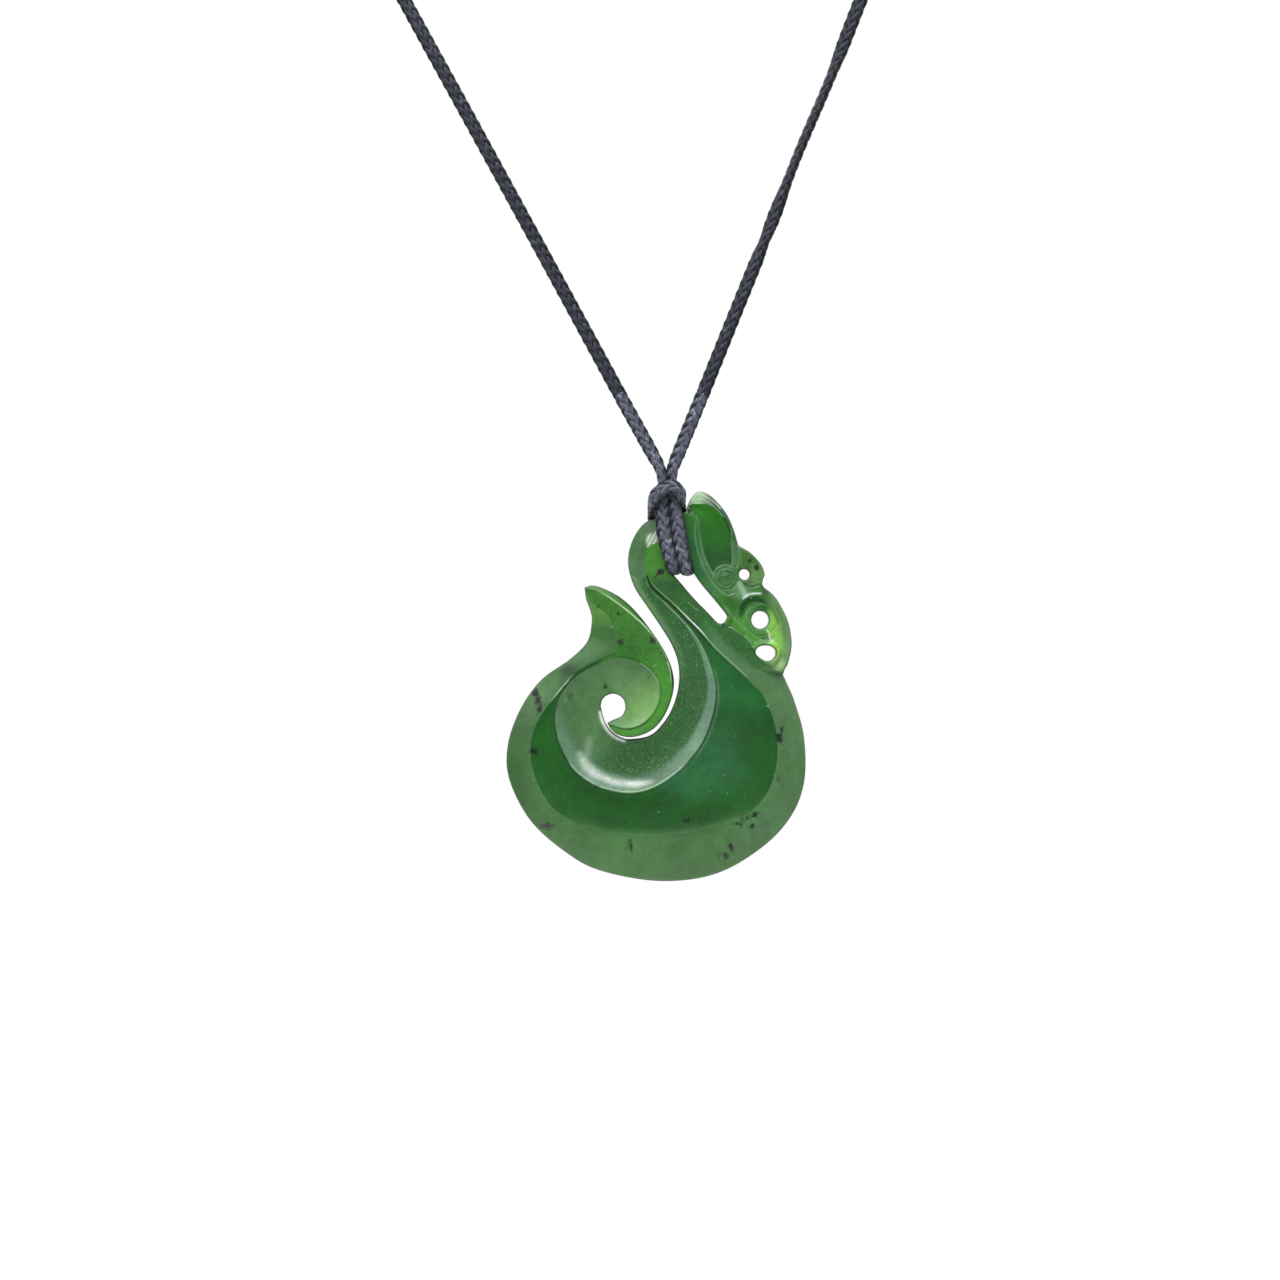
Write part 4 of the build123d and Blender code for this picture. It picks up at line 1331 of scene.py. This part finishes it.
def buildStone(material):
    # The carved front and the plain back on the same outline, joined by a wall along every edge
    frontVerts, frontFaces, edges, edgeCount = triangulate(packPoints(True))
    backVerts, backFaces, _, _ = triangulate(packPoints(False))
    height, colour, gloss, grain = carve(frontVerts)
    level, backColour, backGloss, backGrain = backLevel(backVerts)
    front = np.stack([frontVerts[:, 0], -height, frontVerts[:, 1]], 1) * mm
    back = np.stack([backVerts[:, 0], level, backVerts[:, 1]], 1) * mm
    shift = len(front)
    near, far = edges.T
    wall = [np.stack([far, near, near + shift], 1), np.stack([far, near + shift, far + shift], 1)]
    faces = np.concatenate([frontFaces, backFaces[:, ::-1] + shift, *wall])
    verts = np.concatenate([front, back])
    piece = addMesh("manaiaStone", verts, faces, material)
    tone = piece.data.color_attributes.new("tone", "FLOAT_COLOR", "POINT")
    whole = np.concatenate([colour, backColour])
    tone.data.foreach_set("color", np.c_[whole, np.ones(len(whole))].astype(np.float32).ravel())
    marks = {
        "gloss": np.r_[gloss, backGloss],
        "grain": np.r_[grain, backGrain],
        "spots": blotches(np.concatenate([frontVerts, backVerts])),
    }
    for name, values in marks.items():
        layer = piece.data.attributes.new(name, "FLOAT", "POINT")
        layer.data.foreach_set("value", values.astype(np.float32))
    print("stone", len(verts), "points", len(faces), "faces; loops kept",
          np.allclose(frontVerts[:edgeCount], backVerts[:edgeCount]))
    return piece


def greenstoneMaterial():
    # Nephrite: the painted greens, clouded at two sizes, grainy where matte, glossy where polished
    material, tree, shader = newMaterial("nephrite")
    place = addNode(tree, "ShaderNodeTexCoord").outputs["Object"]
    tone = addNode(tree, "ShaderNodeAttribute", attribute_name="tone").outputs["Color"]
    gloss, grain, spots = (addNode(tree, "ShaderNodeAttribute", attribute_name=name).outputs["Fac"]
                           for name in ("gloss", "grain", "spots"))
    clouds = ramp(tree, noise(tree, place, 230.0, 5.0, 0.6), 0.30, 0.70, 0.80, 1.20)
    wisps = ramp(tree, noise(tree, place, 900.0, 3.0, 0.6), 0.30, 0.70, 0.88, 1.12)
    brush = addNode(tree, "ShaderNodeMapping", Rotation=(0.0, 0.6, 0.0), Scale=(500.0, 500.0, 6000.0))
    tree.links.new(place, brush.inputs[0])
    strands = ramp(tree, noise(tree, brush.outputs[0], 1.0, 2.0), 0.30, 0.70, 0.94, 1.06)
    veils = doMath(tree, "MULTIPLY", doMath(tree, "MULTIPLY", clouds, wisps), strands)
    clouded = mixColour(tree, 1.0, tone, veils, "MULTIPLY")
    drift = ramp(tree, noise(tree, place, 170.0, 3.0, 0.6), 0.35, 0.65)
    tint = mixColour(tree, drift, (0.94, 1.0, 0.84), (1.08, 0.99, 1.24))
    clouded = mixColour(tree, 1.0, clouded, tint, "MULTIPLY")
    specks = noise(tree, place, 4600.0, 2.0, 0.7)
    light = doMath(tree, "MULTIPLY", ramp(tree, specks, 0.55, 0.72), doMath(tree, "MULTIPLY", grain, 0.60))
    clouded = mixColour(tree, light, clouded, (0.22, 0.36, 0.22))
    shade = doMath(tree, "MULTIPLY", ramp(tree, specks, 0.47, 0.30), doMath(tree, "MULTIPLY", grain, 0.75))
    clouded = mixColour(tree, shade, clouded, (0.010, 0.045, 0.012))
    motes = ramp(tree, noise(tree, place, 2100.0, 1.0), 0.755, 0.80, 0.0, 0.55)
    clouded = mixColour(tree, motes, clouded, (0.30, 0.50, 0.32))
    # Dark inclusions with ragged edges: the painted spot plus noise, cut off sharply
    fray = ramp(tree, noise(tree, place, 1500.0, 6.0, 0.8), 0.30, 0.70, -0.50, 0.50)
    ragged = doMath(tree, "ADD", spots, fray)
    mark = ramp(tree, ragged, 0.32, 0.74, 0.0, 0.96)
    clouded = mixColour(tree, mark, clouded, (0.003, 0.010, 0.006))
    tree.links.new(clouded, shader.inputs["Base Color"])
    smooth = doMath(tree, "MAXIMUM", gloss, doMath(tree, "MULTIPLY", mark, 0.9))
    tree.links.new(ramp(tree, smooth, 0.0, 1.0, 0.62, 0.12), shader.inputs["Roughness"])
    shader.inputs["IOR"].default_value = 1.6
    shader.inputs["Subsurface Weight"].default_value = 0.25
    shader.inputs["Subsurface Radius"].default_value = (0.35, 1.0, 0.30)
    shader.inputs["Subsurface Scale"].default_value = 0.001
    bump = addNode(tree, "ShaderNodeBump", Strength=0.35, Distance=0.00005)
    tree.links.new(doMath(tree, "MULTIPLY", specks, grain), bump.inputs["Height"])
    tree.links.new(bump.outputs[0], shader.inputs["Normal"])
    return material


stonePiece = buildStone(greenstoneMaterial())
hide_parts("greenstone_manaia")
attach(stonePiece, "root")

# Camera and studio
studio = {
    "lens": 100.0,
    "sensor": 36.0,
    "faceLevel": -2.5,
    "backLight": 1.0,
    "frontLight": 0.26,
    "topLight": 0.9,
    "lamps": {
        "key": (1.25, (0.22, 0.22), (-0.20, -0.34, 0.34)),
        "above": (0.75, (0.24, 0.07), (0.06, -0.12, 0.38)),
    },
    "floorDrop": 0.09,
    "floorRadius": 0.16,
    "floorShares": (0.985, 1.0, 1.0, 0.985),
    "floorDepths": (0.0, 0.002, 0.004, 0.006),
}


def addCamera():
    # The photo's middle pixel, square on, from where its width fills the frame
    middle = fromPhoto([photo["wide"] / 2, photo["wide"] / 2])
    distance = photo["wide"] * pixel * studio["lens"] / studio["sensor"]
    data = bpy.data.cameras.new("camera")
    data.lens = studio["lens"]
    data.sensor_width = studio["sensor"]
    camera = bpy.data.objects.new("camera", data)
    camera.location = (middle[0], studio["faceLevel"] * mm - distance, middle[1])
    camera.rotation_euler = (math.pi / 2, 0, 0)
    data.clip_start = 0.01
    data.clip_end = 20.0
    scene.collection.objects.link(camera)
    scene.camera = camera


def addWorld():
    # White behind the pendant and above it, dimmer on the viewer's side; the backdrop itself is white
    world = bpy.data.worlds.new("studio")
    scene.world = world
    world.use_nodes = True
    tree = world.node_tree
    background = tree.nodes["Background"]
    direction = addNode(tree, "ShaderNodeTexCoord").outputs["Generated"]
    parts = addNode(tree, "ShaderNodeSeparateXYZ")
    tree.links.new(direction, parts.inputs[0])
    depth = ramp(tree, parts.outputs[1], -0.5, 0.4, studio["frontLight"], studio["backLight"])
    height = ramp(tree, parts.outputs[2], -0.2, 0.9, 0.0, studio["topLight"] - studio["frontLight"])
    light = doMath(tree, "ADD", depth, height)
    seen = addNode(tree, "ShaderNodeLightPath").outputs["Is Camera Ray"]
    unseen = doMath(tree, "MULTIPLY", light, doMath(tree, "SUBTRACT", 1.0, seen))
    tree.links.new(doMath(tree, "ADD", unseen, seen), background.inputs["Strength"])
    background.inputs["Color"].default_value = (1.0, 1.0, 1.0, 1.0)


def addLamps():
    # Two soft lights aimed at the stone: power, width and height, and place from its middle
    stoneMiddle = (np.array(stoneLow) + np.array(stoneHigh)) / 2
    for name, (power, size, spot) in studio["lamps"].items():
        data = bpy.data.lights.new(name, "AREA")
        data.energy = power
        data.shape = "RECTANGLE"
        data.size, data.size_y = size
        lamp = bpy.data.objects.new(name, data)
        lamp.location = stoneMiddle + np.array(spot)
        x, y, z = spot
        lamp.rotation_euler = (math.atan2(math.hypot(x, y), z), 0, math.atan2(x, -y))
        scene.collection.objects.link(lamp)


def addFloor():
    # A pale disc well under the pendant: rings about its middle, with a fan closing each flat side
    material, _, shader = newMaterial("paleFloor")
    shader.inputs["Base Color"].default_value = (0.88, 0.88, 0.87, 1.0)
    shader.inputs["Roughness"].default_value = 0.6
    sides = 96
    side = np.arange(sides)
    after = (side + 1) % sides
    angles = side * 2 * math.pi / sides
    reach = studio["floorRadius"] * np.array(studio["floorShares"])
    levels = stoneLow[2] - studio["floorDrop"] - np.array(studio["floorDepths"])
    middle = (stoneLow[0] + stoneHigh[0]) / 2
    edge = np.stack([middle + reach[:, None] * np.cos(angles), reach[:, None] * np.sin(angles),
                     np.broadcast_to(levels[:, None], (len(reach), sides))], -1).reshape(-1, 3)
    verts = np.concatenate([edge, [[middle, 0.0, levels[0]], [middle, 0.0, levels[-1]]]])
    quads = gridFaces(len(reach), sides)[:, ::-1]
    last = (len(reach) - 1) * sides
    top = np.stack([np.full(sides, len(edge)), side, after], 1)
    foot = np.stack([np.full(sides, len(edge) + 1), last + after, last + side], 1)
    faces = np.concatenate([quads[:, :3], quads[:, [0, 2, 3]], top, foot])
    floor = addMesh("paleFloor", verts, faces, material)
    floor.data.polygons.foreach_set("use_smooth", np.zeros(len(floor.data.polygons), bool))


addCamera()
addWorld()
addLamps()
addFloor()
scene.view_settings.view_transform = "Standard"
print("studio ready")

bpy.context.view_layer.update()
